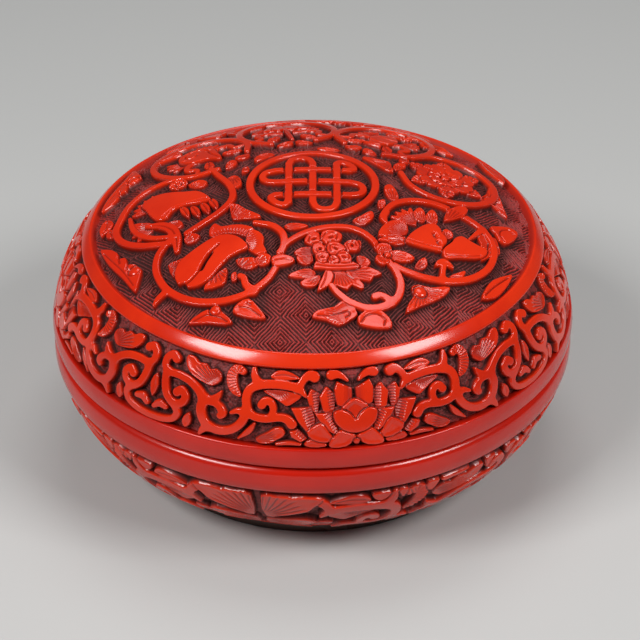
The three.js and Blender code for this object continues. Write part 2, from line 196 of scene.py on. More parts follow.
def addNoise(tree, vector, scale, detail=3.0, rough=0.55):
    noise = addNode(tree, "ShaderNodeTexNoise")
    tree.links.new(vector, noise.inputs["Vector"])
    noise.inputs["Detail"].default_value = detail
    noise.inputs["Roughness"].default_value = rough
    if isinstance(scale, (int, float)):
        noise.inputs["Scale"].default_value = scale
    else:
        tree.links.new(scale, noise.inputs["Scale"])
    return noise.outputs["Fac"]


def remap(tree, value, low, high, toLow=0.0, toHigh=1.0):
    node = addNode(tree, "ShaderNodeMapRange", interpolation_type="SMOOTHSTEP")
    tree.links.new(value, node.inputs["Value"])
    for label, number in (("From Min", low), ("From Max", high), ("To Min", toLow), ("To Max", toHigh)):
        node.inputs[label].default_value = number
    return node.outputs["Result"]


def combine(tree, operation, first, second):
    node = addNode(tree, "ShaderNodeMath", operation=operation)
    for socket, value in zip(node.inputs, (first, second)):
        if isinstance(value, (int, float)):
            socket.default_value = value
        else:
            tree.links.new(value, socket)
    return node.outputs[0]


def blendColours(tree, factor, first, second):
    node = addNode(tree, "ShaderNodeMix", data_type="RGBA")
    tree.links.new(factor, node.inputs[0])
    for socket, value in ((node.inputs[6], first), (node.inputs[7], second)):
        if isinstance(value, tuple):
            socket.default_value = (*value, 1)
        else:
            tree.links.new(value, socket)
    return node.outputs[2]


polish = {"scratch": 0.06, "mottleScale": 45.0, "mottle": (0.35, 0.7)}


def makePolishGroup():  # slow unevenness of a hand-rubbed surface, and its fine scratches
    group, start, end = newGroup(
        "handPolish",
        [("Wave Scale", "NodeSocketFloat", 90.0), ("Scratch Scale", "NodeSocketFloat", 900.0)],
        [("Height", "NodeSocketFloat"), ("Mottle", "NodeSocketFloat")],
    )
    place = addNode(group, "ShaderNodeTexCoord").outputs["Object"]
    wave = addNoise(group, place, start.outputs["Wave Scale"], 1.5)
    scratch = addNoise(group, place, start.outputs["Scratch Scale"], 2.0)
    both = combine(group, "ADD", wave, combine(group, "MULTIPLY", scratch, polish["scratch"]))
    group.links.new(both, end.inputs["Height"])
    mottle = addNoise(group, place, polish["mottleScale"], 4.0, 0.6)
    group.links.new(remap(group, mottle, *polish["mottle"]), end.inputs["Mottle"])
    return group


def makeRubGroup():  # rubbed edges, and hollows darkened by grime and painted shade, from the form itself
    group, start, end = newGroup(
        "rubbedEdges",
        [("Spread", "NodeSocketFloat", 0.06)],
        [("Edge", "NodeSocketFloat"), ("Hollow", "NodeSocketFloat")],
    )
    point = addNode(group, "ShaderNodeNewGeometry").outputs["Pointiness"]
    lifted = combine(group, "SUBTRACT", point, 0.5)
    scaled = combine(group, "DIVIDE", lifted, start.outputs["Spread"])
    group.links.new(remap(group, scaled, 0.25, 1.0), end.inputs["Edge"])
    group.links.new(remap(group, scaled, -0.25, -1.0), end.inputs["Hollow"])
    return group


polishGroup = makePolishGroup()
rubGroup = makeRubGroup()


def useGroup(tree, group, **values):
    node = addNode(tree, "ShaderNodeGroup", node_tree=group)
    for label, value in values.items():
        node.inputs[label.replace("_", " ")].default_value = value
    return node.outputs


def readMap(tree, name):  # a value that the mesh carries
    return addNode(tree, "ShaderNodeAttribute", attribute_name=name).outputs["Fac"]


def addBump(tree, shader, height, strength, distance):
    bump = addNode(tree, "ShaderNodeBump")
    bump.inputs["Strength"].default_value = strength
    bump.inputs["Distance"].default_value = distance
    tree.links.new(height, bump.inputs["Height"])
    tree.links.new(bump.outputs["Normal"], shader.inputs["Normal"])


redLacquer = {
    "bright": (0.66, 0.026, 0.003),
    "deep": (0.54, 0.016, 0.002),
    "rim": (0.53, 0.010, 0.002),  # darker than the top: painted shade on the upright rim
    "rimDeep": (0.45, 0.007, 0.001),
    # the wall colour is painted shade on the carved walls
    "wall": (0.30, 0.010, 0.004),
    # the ground colour is painted shade, and its greyness a painted sheen
    "ground": (0.37, 0.020, 0.017),
    # grime and painted shade together, for hollows and crevices
    "grimeAndShade": (0.035, 0.004, 0.003),
    "gloss": 0.5,
    "groundEnds": (0.03, 0.45),  # level where the ground's colour gives way to the wall's
    "wallEnds": (0.35, 0.9),  # level where the wall's gives way to the top's
    "roughness": (0.62, 0.17),  # in the ground, on the top
    "grimeRoughness": 0.95,
    "rimRoughness": (0.17, 0.26),
}


def makeCarvedRed():
    material, tree, shader = newMaterial("carved_red_lacquer")
    rubbed = useGroup(tree, polishGroup, Wave_Scale=140.0, Scratch_Scale=1100.0)
    level, groove = readMap(tree, "level"), readMap(tree, "groove")
    top = blendColours(tree, rubbed["Mottle"], redLacquer["bright"], redLacquer["deep"])
    # darker from the top through the wall colour to the ground colour: painted shade by depth
    carved = blendColours(tree, remap(tree, level, *redLacquer["wallEnds"]), redLacquer["wall"], top)
    low = blendColours(tree, remap(tree, level, *redLacquer["groundEnds"]), redLacquer["ground"], carved)
    # the groove map adds grime and painted shade
    grimedAndShadedColour = blendColours(tree, groove, low, redLacquer["grimeAndShade"])
    tree.links.new(grimedAndShadedColour, shader.inputs["Base Color"])
    polished = remap(tree, level, 0.1, 0.9, *redLacquer["roughness"])
    dull = remap(tree, groove, 0.3, 1.0, 0.0, redLacquer["grimeRoughness"])  # grime, and the painted shade in the same mask, have no shine
    tree.links.new(combine(tree, "MAXIMUM", polished, dull), shader.inputs["Roughness"])
    shader.inputs["Specular IOR Level"].default_value = redLacquer["gloss"]
    addBump(tree, shader, rubbed["Height"], 0.25, 0.0002)
    return material


def makePlainRed():
    material, tree, shader = newMaterial("plain_red_lacquer")
    rubbed = useGroup(tree, polishGroup, Wave_Scale=110.0, Scratch_Scale=900.0)
    worn = useGroup(tree, rubGroup, Spread=0.08)
    top = blendColours(tree, rubbed["Mottle"], redLacquer["rim"], redLacquer["rimDeep"])
    # hollows take the wall colour: painted shade, with grime
    hollow = blendColours(tree, worn["Hollow"], top, redLacquer["wall"])
    # the joint and the ledge take the grime colour: painted shade, with grime
    soiledAndShaded = blendColours(tree, readMap(tree, "soilAndShade"), hollow, redLacquer["grimeAndShade"])
    tree.links.new(soiledAndShaded, shader.inputs["Base Color"])
    roughness = remap(tree, rubbed["Mottle"], 0.0, 1.0, *redLacquer["rimRoughness"])
    tree.links.new(roughness, shader.inputs["Roughness"])
    shader.inputs["Specular IOR Level"].default_value = redLacquer["gloss"]
    addBump(tree, shader, rubbed["Height"], 0.3, 0.0003)
    return material


blackLacquer = {
    "film": (0.012, 0.009, 0.008),
    "thin": (0.030, 0.014, 0.010),
    "worn": (0.075, 0.030, 0.018),
    "roughness": (0.16, 0.3),
}


def makeBlack():
    material, tree, shader = newMaterial("black_lacquer")
    rubbed = useGroup(tree, polishGroup, Wave_Scale=70.0, Scratch_Scale=800.0)
    worn = useGroup(tree, rubGroup, Spread=0.06)
    film = blendColours(tree, rubbed["Mottle"], blackLacquer["film"], blackLacquer["thin"])
    edged = blendColours(tree, worn["Edge"], film, blackLacquer["worn"])
    tree.links.new(edged, shader.inputs["Base Color"])
    roughness = remap(tree, rubbed["Mottle"], 0.0, 1.0, *blackLacquer["roughness"])
    tree.links.new(roughness, shader.inputs["Roughness"])
    addBump(tree, shader, rubbed["Height"], 0.2, 0.0003)
    return material


turnedWood = {
    "pale": (0.48, 0.29, 0.14),
    "dark": (0.27, 0.14, 0.06),
    "stretch": (1.0, 0.08, 1.0),  # the grain runs along y
    "grain": 260.0,
    "contrast": (0.35, 0.65),
    "roughness": 0.7,
}


def makeWood():
    material, tree, shader = newMaterial("turned_wood")
    place = addNode(tree, "ShaderNodeTexCoord").outputs["Object"]
    stretch = addNode(tree, "ShaderNodeMapping")
    stretch.inputs["Scale"].default_value = turnedWood["stretch"]
    tree.links.new(place, stretch.inputs["Vector"])
    grain = addNoise(tree, stretch.outputs["Vector"], turnedWood["grain"], 5.0, 0.6)
    bands = remap(tree, grain, *turnedWood["contrast"])
    colour = blendColours(tree, bands, turnedWood["pale"], turnedWood["dark"])
    tree.links.new(colour, shader.inputs["Base Color"])
    shader.inputs["Roughness"].default_value = turnedWood["roughness"]
    addBump(tree, shader, grain, 0.3, 0.0002)
    return material


carvedRed = makeCarvedRed()
plainRed = makePlainRed()
black = makeBlack()
wood = makeWood()
print("finishes made")


# Carving tools: a height map in mm above the ground, cut shape by shape
carve = {
    "depth": shape["carvingDepth"],
    "lean": 0.11,  # half the width of a carved wall
    "edge": 0.08,  # width of the rounding along a top's edge
    "drop": 0.12,  # height of that rounding
    "moat": 0.20,  # how far round a shape the ones below it are cut back
    "margin": 1.0,  # round a shape, in which the map can change
    "thinnest": 0.1,  # half the width of a stem's end
    "fillet": 0.6,  # web where stems grow into each other
    "facets": 2,  # knife cuts between two points of a petal's outline
    "hatchDepth": 0.26,
    "rayDepth": 0.3,
    "roughness": 0.15,  # unevenness of the ground
    "polish": 1,  # smoothing passes
}
# grime and painted shade: in dips, on ground shut in by forms, and low on steep walls
grimeAndShade = {
    "dip": 0.12,  # mm below the surface round about that hold all they can
    "inDips": 0.6,
    "shutIn": (0.35, 0.80),  # mean height round ground that is open, and that is shut in
    "onWalls": 0.35,
    "steep": (1.2, 3.0),  # slope of a wall
    "lowOnWall": (1.0, 0.4),  # level where grime starts, and where it is full
}


def ease(low, high, value):
    part = np.clip((value - low) / (high - low), 0, 1)
    return part * part * (3 - 2 * part)


def polar(radius, degrees, centre=(0, 0)):
    angle = math.radians(degrees)
    return centre[0] + radius * math.cos(angle), centre[1] + radius * math.sin(angle)


def mirrored(half):  # closed outline, from its right half taken downwards
    return half + [(-x, y) for x, y in reversed(half) if x]


def flipped(side, points):  # to the left where side is -1
    return [(side * x, y) for x, y in points]


def fromRow(along, spacing):  # distance from the nearest of a row of lines
    return np.abs((along / spacing) % 1 - 0.5) * spacing


def throughPoints(points, closed=False, spans=6):  # smooth curve through every point
    p = np.array(points, float)
    if closed:
        p = np.vstack([p[-1], p, p[0], p[1]])
    else:
        p = np.vstack([2 * p[0] - p[1], p, 2 * p[-1] - p[-2]])
    t = np.linspace(0, 1, spans, endpoint=False)[:, None]
    runs = []
    for a, b, c, d in zip(p, p[1:], p[2:], p[3:]):
        bend = (2 * a - 5 * b + 4 * c - d) * t**2 + (3 * b - a - 3 * c + d) * t**3
        runs.append(b + 0.5 * ((c - a) * t + bend))
    if not closed:
        runs.append(p[-2:-1])
    return np.vstack(runs)


def blurred(values, passes):
    for _ in range(passes):
        padded = np.pad(values, 1, mode="edge")
        values = (padded[:-2, 1:-1] + 2 * padded[1:-1, 1:-1] + padded[2:, 1:-1]) / 4
        padded = np.pad(values, 1, mode="edge")
        values = (padded[1:-1, :-2] + 2 * padded[1:-1, 1:-1] + padded[1:-1, 2:]) / 4
    return values


def spreadOut(values, step=10, passes=18):  # mean over a few mm round each point
    coarse = blurred(blurred(values, 12)[::step, ::step], passes)
    wide = np.repeat(np.repeat(coarse, step, 0), step, 1)
    return blurred(wide[: values.shape[0], : values.shape[1]], 12)


def toolMarks(size, seed):  # uneven ground, from -1 to 1
    chance = np.random.default_rng(seed)
    coarse = blurred(chance.standard_normal(size), 40)
    fine = blurred(chance.standard_normal(size), 4)
    return np.clip(0.28 * coarse / coarse.std() + 0.28 * fine / fine.std(), -1, 1)


class Relief:
    def __init__(self, low, high, pitch, wider):
        self.low = np.array(low, float)
        self.pitch = pitch
        self.wider = wider  # for all stems of this relief
        self.counts = np.ceil((np.array(high) - self.low) / pitch).astype(int) + 1
        self.height = np.zeros((self.counts[1], self.counts[0]))
        self.put()

    def put(self, centre=(0, 0), turn=0.0, mirror=False):  # where the next shapes go
        self.centre = np.array(centre, float)
        angle = math.radians(turn)
        side = -1 if mirror else 1
        spin = np.array([[math.cos(angle), math.sin(angle)], [-math.sin(angle), math.cos(angle)]])
        self.spin = np.diag([side, 1]) @ spin

    def placed(self, points):
        return np.array(points, float)[:, :2] @ self.spin + self.centre

    def grid(self, low, high):  # where the points of the map lie
        return np.meshgrid(*(self.low[i] + self.pitch * np.arange(low[i], high[i]) for i in (0, 1)))

    def window(self, points, margin):  # the part of the map that the next shape can change
        low = np.floor((points.min(0) - margin - self.low) / self.pitch).astype(int)
        high = np.ceil((points.max(0) + margin - self.low) / self.pitch).astype(int) + 1
        low, high = np.clip(low, 0, self.counts), np.clip(high, 0, self.counts)
        self.part = (slice(low[1], high[1]), slice(low[0], high[0]))
        self.x, self.y = self.grid(low, high)

    def fromLine(self, start, end):  # way along a straight line from 0 to 1, and the offsets from it
        (ax, ay), (bx, by) = start, end
        dx, dy = bx - ax, by - ay
        t = np.clip(((self.x - ax) * dx + (self.y - ay) * dy) / (dx * dx + dy * dy + 1e-12), 0, 1)
        return t, self.x - ax - t * dx, self.y - ay - t * dy

    def alongCurve(self, curve, halves):  # distance outside the stroke, and the way along it
        near = np.full(self.x.shape, 1e9)
        along = np.zeros(self.x.shape)
        run = 0.0
        for start, end, ha, hb in zip(curve, curve[1:], halves, halves[1:]):
            t, offX, offY = self.fromLine(start, end)
            away = np.hypot(offX, offY) - ha - (hb - ha) * t
            closer = away < near
            near = np.where(closer, away, near)
            span = math.dist(start, end)
            along = np.where(closer, run + t * span, along)
            run += span
        return near, along

    def insideOutline(self, curve):  # signed distance, negative inside
        near = np.full(self.x.shape, 1e9)
        inside = np.zeros(self.x.shape, bool)
        for start, end in zip(curve, np.roll(curve, -1, 0)):
            (ax, ay), (bx, by) = start, end
            _, offX, offY = self.fromLine(start, end)
            near = np.minimum(near, offX**2 + offY**2)
            if ay != by:
                crossing = (bx - ax) * (self.y - ay) / (by - ay) + ax
                inside ^= ((ay > self.y) != (by > self.y)) & (self.x < crossing)
        return np.where(inside, -1, 1) * np.sqrt(near)

    def flatTop(self, distance, level):
        depthIn = np.maximum(-distance, 0)
        return level * carve["depth"] - carve["drop"] * np.exp(-depthIn / carve["edge"])

    def lay(self, distance, top, cutBack=0.5):  # a shape on top of what is there
        below = self.height[self.part]
        inside = ease(carve["lean"], -carve["lean"], distance)
        moat = np.exp(-((np.maximum(distance, 0) / carve["moat"]) ** 2)) * (1 - inside)
        self.height[self.part] = below * (1 - cutBack * moat) * (1 - inside) + top * inside
        self.distance = distance

    def stroke(self, path, widths):
        ends = np.linspace(0, 1, len(path)), np.linspace(0, 1, len(widths))
        halves = np.interp(*ends, widths) * self.wider / 2
        curve = throughPoints(np.column_stack([self.placed(path), halves]))
        return curve[:, :2], np.maximum(curve[:, 2], carve["thinnest"])

    def vine(self, strokes, level=1.0, fillet=carve["fillet"]):  # flat stems that grow into each other
        curves = [self.stroke(path, widths) for path, widths in strokes]
        widest = max(halves.max() for _, halves in curves)
        self.window(np.vstack([curve for curve, _ in curves]), widest + carve["margin"])
        distance = np.full(self.x.shape, 1e3)
        for curve, halves in curves:
            near = self.alongCurve(curve, halves)[0]
            part = np.clip(0.5 + 0.5 * (distance - near) / fillet, 0, 1)
            distance = distance + (near - distance) * part - fillet * part * (1 - part)
        inside = ease(carve["lean"], -carve["lean"], distance)
        below = self.height[self.part]
        self.height[self.part] = np.maximum(below, self.flatTop(distance, level) * inside)
        self.distance = distance

    def stem(self, path, widths, level=1.0, hatch=0.0):  # one stem that lies over what is there
        curve, halves = self.stroke(path, widths)
        self.window(curve, halves.max() + carve["margin"])
        distance, along = self.alongCurve(curve, halves)
        top = self.flatTop(distance, level)
        if hatch:
            cuts = ease(0.2, 0.04, fromRow(along, hatch)) * ease(-0.1, -0.3, distance)
            top = top - carve["hatchDepth"] * cuts
        self.lay(distance, top)

    def plate(self, outline, level=1.0):
        curve = throughPoints(self.placed(outline), closed=True)
        self.window(curve, carve["margin"])
        distance = self.insideOutline(curve)
        self.lay(distance, self.flatTop(distance, level))

    def petal(self, outline, level=0.95, root=None, rays=0, spread=150.0, tilt=0.35, hollow=0.1):
        # a leaf or petal that sinks towards its root, with cut rays that fan out of the root
        curve = throughPoints(self.placed(outline), True, carve["facets"])
        self.window(curve, carve["margin"])
        distance = self.insideOutline(curve)
        depthIn = np.maximum(-distance, 0)
        top = self.flatTop(distance, level) - hollow * ease(0.3, 1.3, depthIn)
        if root is not None:
            rx, ry = self.placed([root])[0]
            radius = np.hypot(self.x - rx, self.y - ry)
            part = np.clip(radius / np.hypot(curve[:, 0] - rx, curve[:, 1] - ry).max(), 0, 1)
            middle = curve.mean(0) - (rx, ry)
            angle = np.arctan2(self.y - ry, self.x - rx) - math.atan2(middle[1], middle[0])
            angle = (angle + math.pi) % (2 * math.pi) - math.pi
            off = fromRow(angle, math.radians(spread) / max(rays, 1)) * radius
            cuts = ease(0.22, 0.03, off) * ease(0.2, 0.4, depthIn)
            cuts = cuts * ease(0.12, 0.3, part) * ease(0.76, 0.58, part)
            top = top - tilt * (1 - part) ** 1.3 - carve["rayDepth"] * cuts
        self.lay(distance, top, 0.3)

    def petals(self, *rows):
        for row in rows:
            self.petal(*row)

    def shield(self, outline, root, level, hatch=0.62, inner=(0, 11)):
        # flat petal with straight edges; the half towards the inner point slopes and is hatched
        corners = self.placed(outline)
        base, middle = self.placed([root, inner])
        tip = (corners[0] + corners[1]) / 2
        self.window(corners, carve["margin"])
        distance = self.insideOutline(corners)
        axis = (base - tip) / np.hypot(*(base - tip))
        side = np.array([-axis[1], axis[0]])
        side = side * np.sign(side @ (middle - tip))
        along = (self.x - tip[0]) * axis[0] + (self.y - tip[1]) * axis[1]
        across = (self.x - tip[0]) * side[0] + (self.y - tip[1]) * side[1] + 0.25
        cuts = ease(0.22, 0.04, fromRow(along, hatch)) * ease(0.0, 0.3, across)
        cuts = cuts * ease(0.1, 0.3, -distance) * ease(0.5, 1.0, along)
        slope = 0.5 * np.clip(across, 0, 1.2)
        self.lay(distance, self.flatTop(distance, level) - slope - carve["hatchDepth"] * cuts, 0.3)

    def curl(self, centre, radius, turn, level):  # petal rolled round an eye
        def at(angle, part):
            return polar(radius * part, turn + angle, centre)

        self.plate([at(60 * i, (1.0, 0.86)[i % 2]) for i in range(6)], level)
        self.cut([at(20, 0.1), at(200, 0.1)], 0.42 * radius, 0.9)
        self.cut([at(-60, 0.5), at(20, 0.6), at(100, 0.62), at(170, 0.75), at(200, 1.05)], 0.4, 0.45)

    def ruffle(self, root, reach, start, end, lobes=5, level=0.84):  # frilled leaf
        frill = np.linspace(start, end, 2 * lobes + 1)
        edge = [polar(reach * (0.8, 1.0)[i % 2], angle, root) for i, angle in enumerate(frill)]
        self.petal([root] + edge, level, root, 2 * lobes, abs(end - start), hollow=0.12)

    def ball(self, centre, radius, level=1.0):
        middle = self.placed([centre])
        self.window(middle, radius + carve["margin"])
        away = np.hypot(self.x - middle[0, 0], self.y - middle[0, 1])
        fall = 1 - np.sqrt(np.clip(1 - (away / radius) ** 2, 0, 1))
        self.lay(away - radius, level * carve["depth"] - 0.5 * radius * fall)

    def cut(self, path, width=0.4, depth=0.4):  # a line engraved in the shape laid last
        curve = throughPoints(self.placed(path))
        distance = self.alongCurve(curve, np.zeros(len(curve)))[0]
        groove = depth * ease(width / 2, 0.0, distance) * ease(0.05, -0.15, self.distance)
        self.height[self.part] = np.maximum(self.height[self.part] - groove, 0)

    def cuts(self, *rows):
        for row in rows:
            self.cut(*row)

    def rosette(self, centre, radius, count=5, level=0.95):
        middle = np.array(centre, float)
        wide = radius * math.sin(math.pi / count) * 1.05
        half = [(0.15, 0), (0.45, 0.75), (0.85, 0.8), (1.0, 0.25), (0.92, 0)]
        section = half + [(a, -b) for a, b in reversed(half) if b]
        for i in range(count):
            angle = 2 * math.pi * i / count + 0.4
            out = np.array([math.cos(angle), math.sin(angle)])
            side = np.array([-out[1], out[0]])
            outline = [middle + out * radius * a + side * wide * b for a, b in section]
            self.petal(outline, level, centre, 6)
        self.ball(centre, radius * 0.28, level)

    def leaf(self, root, tip, width, bend=0.0, level=0.86, veins=3):  # blade with a midrib and side veins
        start, end = np.array(root, float), np.array(tip, float)
        axis = end - start
        side = np.array([-axis[1], axis[0]]) / math.hypot(*axis) * width / 2

        def at(along, across):
            return start + axis * along + side * (across + 4 * bend * along * (1 - along))

        edge = ((0, 0.1), (0.2, 0.75), (0.5, 1.0), (0.8, 0.6), (1, 0.04))
        self.petal([at(t, w) for t, w in edge] + [at(t, -w) for t, w in reversed(edge)], level)
        self.cut([at(0.02, 0), at(0.5, 0), at(0.95, 0)], 0.4, 0.35)
        for i in range(veins):
            t = 0.15 + 0.5 * i / max(veins - 1, 1)
            for w in (0.9, -0.9):
                self.cut([at(t, 0), at(t + 0.1, w * 0.45), at(t + 0.22, w)], 0.3, 0.22)

    def finished(self, ground, stainAndShade, wells):  # height, level and groove maps; the groove map is grime and painted shade
        height = blurred(self.height, carve["polish"])
        bare = 1 - ease(0.05, 0.45, height)
        height = np.maximum(height + ground * bare, 0)
        level = height / carve["depth"]
        dips = np.clip((blurred(height, 5) - height) / grimeAndShade["dip"], 0, 1)
        steep = np.hypot(*np.gradient(height, self.pitch))
        walls = ease(*grimeAndShade["steep"], steep) * ease(*grimeAndShade["lowOnWall"], level)
        openGround, shutIn = grimeAndShade["shutIn"]
        # ground shut in by forms is darkened: painted shade, with grime
        crowded = bare * np.clip((spreadOut(height) - openGround) / (shutIn - openGround), 0, 1)
        groove = grimeAndShade["inDips"] * dips + wells * crowded + stainAndShade * bare + grimeAndShade["onWalls"] * walls
        return {"height": height, "level": level, "groove": np.clip(groove, 0, 1)}

    def sample(self, maps, x, y):
        u = np.clip((x - self.low[0]) / self.pitch, 0, self.counts[0] - 1.001)
        v = np.clip((y - self.low[1]) / self.pitch, 0, self.counts[1] - 1.001)
        i, j = u.astype(int), v.astype(int)
        a, b = u - i, v - j
        found = {}
        for name, values in maps.items():
            lower = values[j, i] * (1 - a) + values[j, i + 1] * a
            upper = values[j + 1, i] * (1 - a) + values[j + 1, i + 1] * a
            found[name] = lower * (1 - b) + upper * b
        return found


# The scroll band: half of one repeat, in degrees from the blossom's axis and mm up the side
scrollBand = {
    "low": 5.7, "high": 23.2, "half": 45.0, "pitch": 0.08, "stemWidth": 1.02,
    "past": (5.0, 3.0),  # degrees of the map beyond either end
    "stainAndShade": 0.3, "wells": 0.42,  # grime and painted shade on open ground, and on ground shut in
}
blossoms = {  # degrees right of the front, where one stands
    "lid": {"axis": 9.0, "repeats": 4},
    "base": {"axis": -12.0, "repeats": 3},
}


def carveBlossom(relief):
    cup = [(0, 15.5), (4, 14.9), (8, 14), (10.4, 12.6), (10.8, 10.4), (9.4, 8), (4, 6.8), (0, 7)]
    relief.plate(mirrored(cup), 0.45)
    for mirror in (True, False):
        relief.put(mirror=mirror)
        relief.petal([(10.9, 6.7), (9.3, 8), (6.2, 7), (6.4, 6), (9.6, 5.9)], 0.8)
        for row in (
            ([(13.9, 9.5), (12.1, 10.2), (9.8, 7.9), (11.5, 7.1), (13.4, 8.2)], (10.7, 7.5), 0.86),
            ([(9.5, 18.9), (8.9, 18.8), (7.2, 17.7), (7.5, 15.6), (8, 12.8), (9.7, 14.9), (10.3, 17)],
             (8.5, 13.2), 0.84),
            ([(13.7, 14.7), (9.4, 15.1), (8.4, 12.6), (8.6, 10.6), (10.1, 9.3), (12, 11.6)],
             (9.7, 9.8), 0.92),
            ([(6.3, 19.3), (5.7, 19.3), (3.9, 17.5), (4.1, 15.6), (4.8, 12.4), (6.9, 14.2), (7.6, 17.2)],
             (5.2, 12.8), 0.9),
            ([(3.7, 20.4), (0.3, 18.8), (0.4, 16.4), (2.3, 14.6), (3.9, 15.3), (4.4, 18.6)],
             (2.2, 14.8), 0.94, 9),
        ):
            relief.shield(*row)
    relief.put()
    relief.petal(mirrored([(0, 16.6), (1.8, 15.6), (3.3, 14), (2.2, 12)]), 0.95, hollow=0.4)
    for mirror in (True, False):
        relief.put(mirror=mirror)
        relief.shield([(8.6, 13.6), (5, 13.8), (3.8, 10.6), (3.7, 8.6), (6.4, 9.9)], (4.2, 9), 0.96)
        relief.petals(
            ([(10.2, 9.5), (7.5, 11.6), (5.9, 9.9), (4.6, 7.7), (6.4, 7.1), (9, 7.8)], 0.95),
            ([(5.7, 7), (4.3, 8.9), (2.9, 10), (0.5, 8.8), (0.1, 7.7), (2.2, 6), (5.3, 5.9)], 0.97),
        )
    relief.put()
    heart = [(0, 12), (1.2, 13.4), (3, 14.3), (4.6, 13.7), (4.4, 11.8), (3.3, 10.3), (1.8, 9.4), (0, 9)]
    relief.plate(mirrored(heart))
    relief.ball((0, 7), 0.8, 0.8)


def carveFanLeaves(relief):
    for outline in (  # a row of leaf tips close under the rim
        [(18.5, 22.7), (18.8, 21.3), (20.1, 20.6), (21.3, 21.5), (21.5, 22.7)],
        [(22.9, 22.8), (23, 21.6), (23.8, 20.4), (24.3, 21.8), (24.4, 22.7)],
        [(27.7, 22.8), (27.9, 21), (28.8, 20.2), (29.6, 21.4), (29.9, 22.8)],
        [(30.4, 22.8), (30.6, 21.7), (32.6, 21.9), (34.4, 22.1), (35.8, 22.8)],
        [(39, 22.8), (39.3, 21.2), (40.1, 19.8), (40.6, 21.6), (41.4, 22.7)],
        [(43.7, 22.8), (44.2, 21), (45, 20.2), (45.8, 21), (46.3, 22.8)],
    ):
        relief.petal(outline, 0.9)
    relief.petals(
        ([(0.7, 22.3), (3, 22.8), (5.2, 22.5), (7.6, 22.9), (10.6, 22.4), (9.4, 20.4), (8.4, 18.8),
          (6.2, 17.6), (3.6, 16.2), (0.9, 15.4)], 0.97, (0.3, 15.2), 17, 150, 0.6),
        ([(0.8, 14.2), (4, 14.9), (8, 15.7), (9.8, 14), (7.4, 12), (4, 10.6), (0.8, 10.2)], 0.92,
          (0.2, 11.6), 17, 150, 0.6),
        ([(0.6, 9.2), (4, 9.9), (7.8, 10.5), (9.2, 8.4), (6.2, 6.8), (2.6, 6.3), (0.6, 6.4)], 0.88,
          (0.2, 7), 14, 150, 0.6),
        ([(8.6, 10.8), (9, 13.2), (10.3, 14.4), (12.7, 14.2), (12, 12.2), (10.5, 10.2)], 0.86, (8.4, 9.4),
          17),
    )


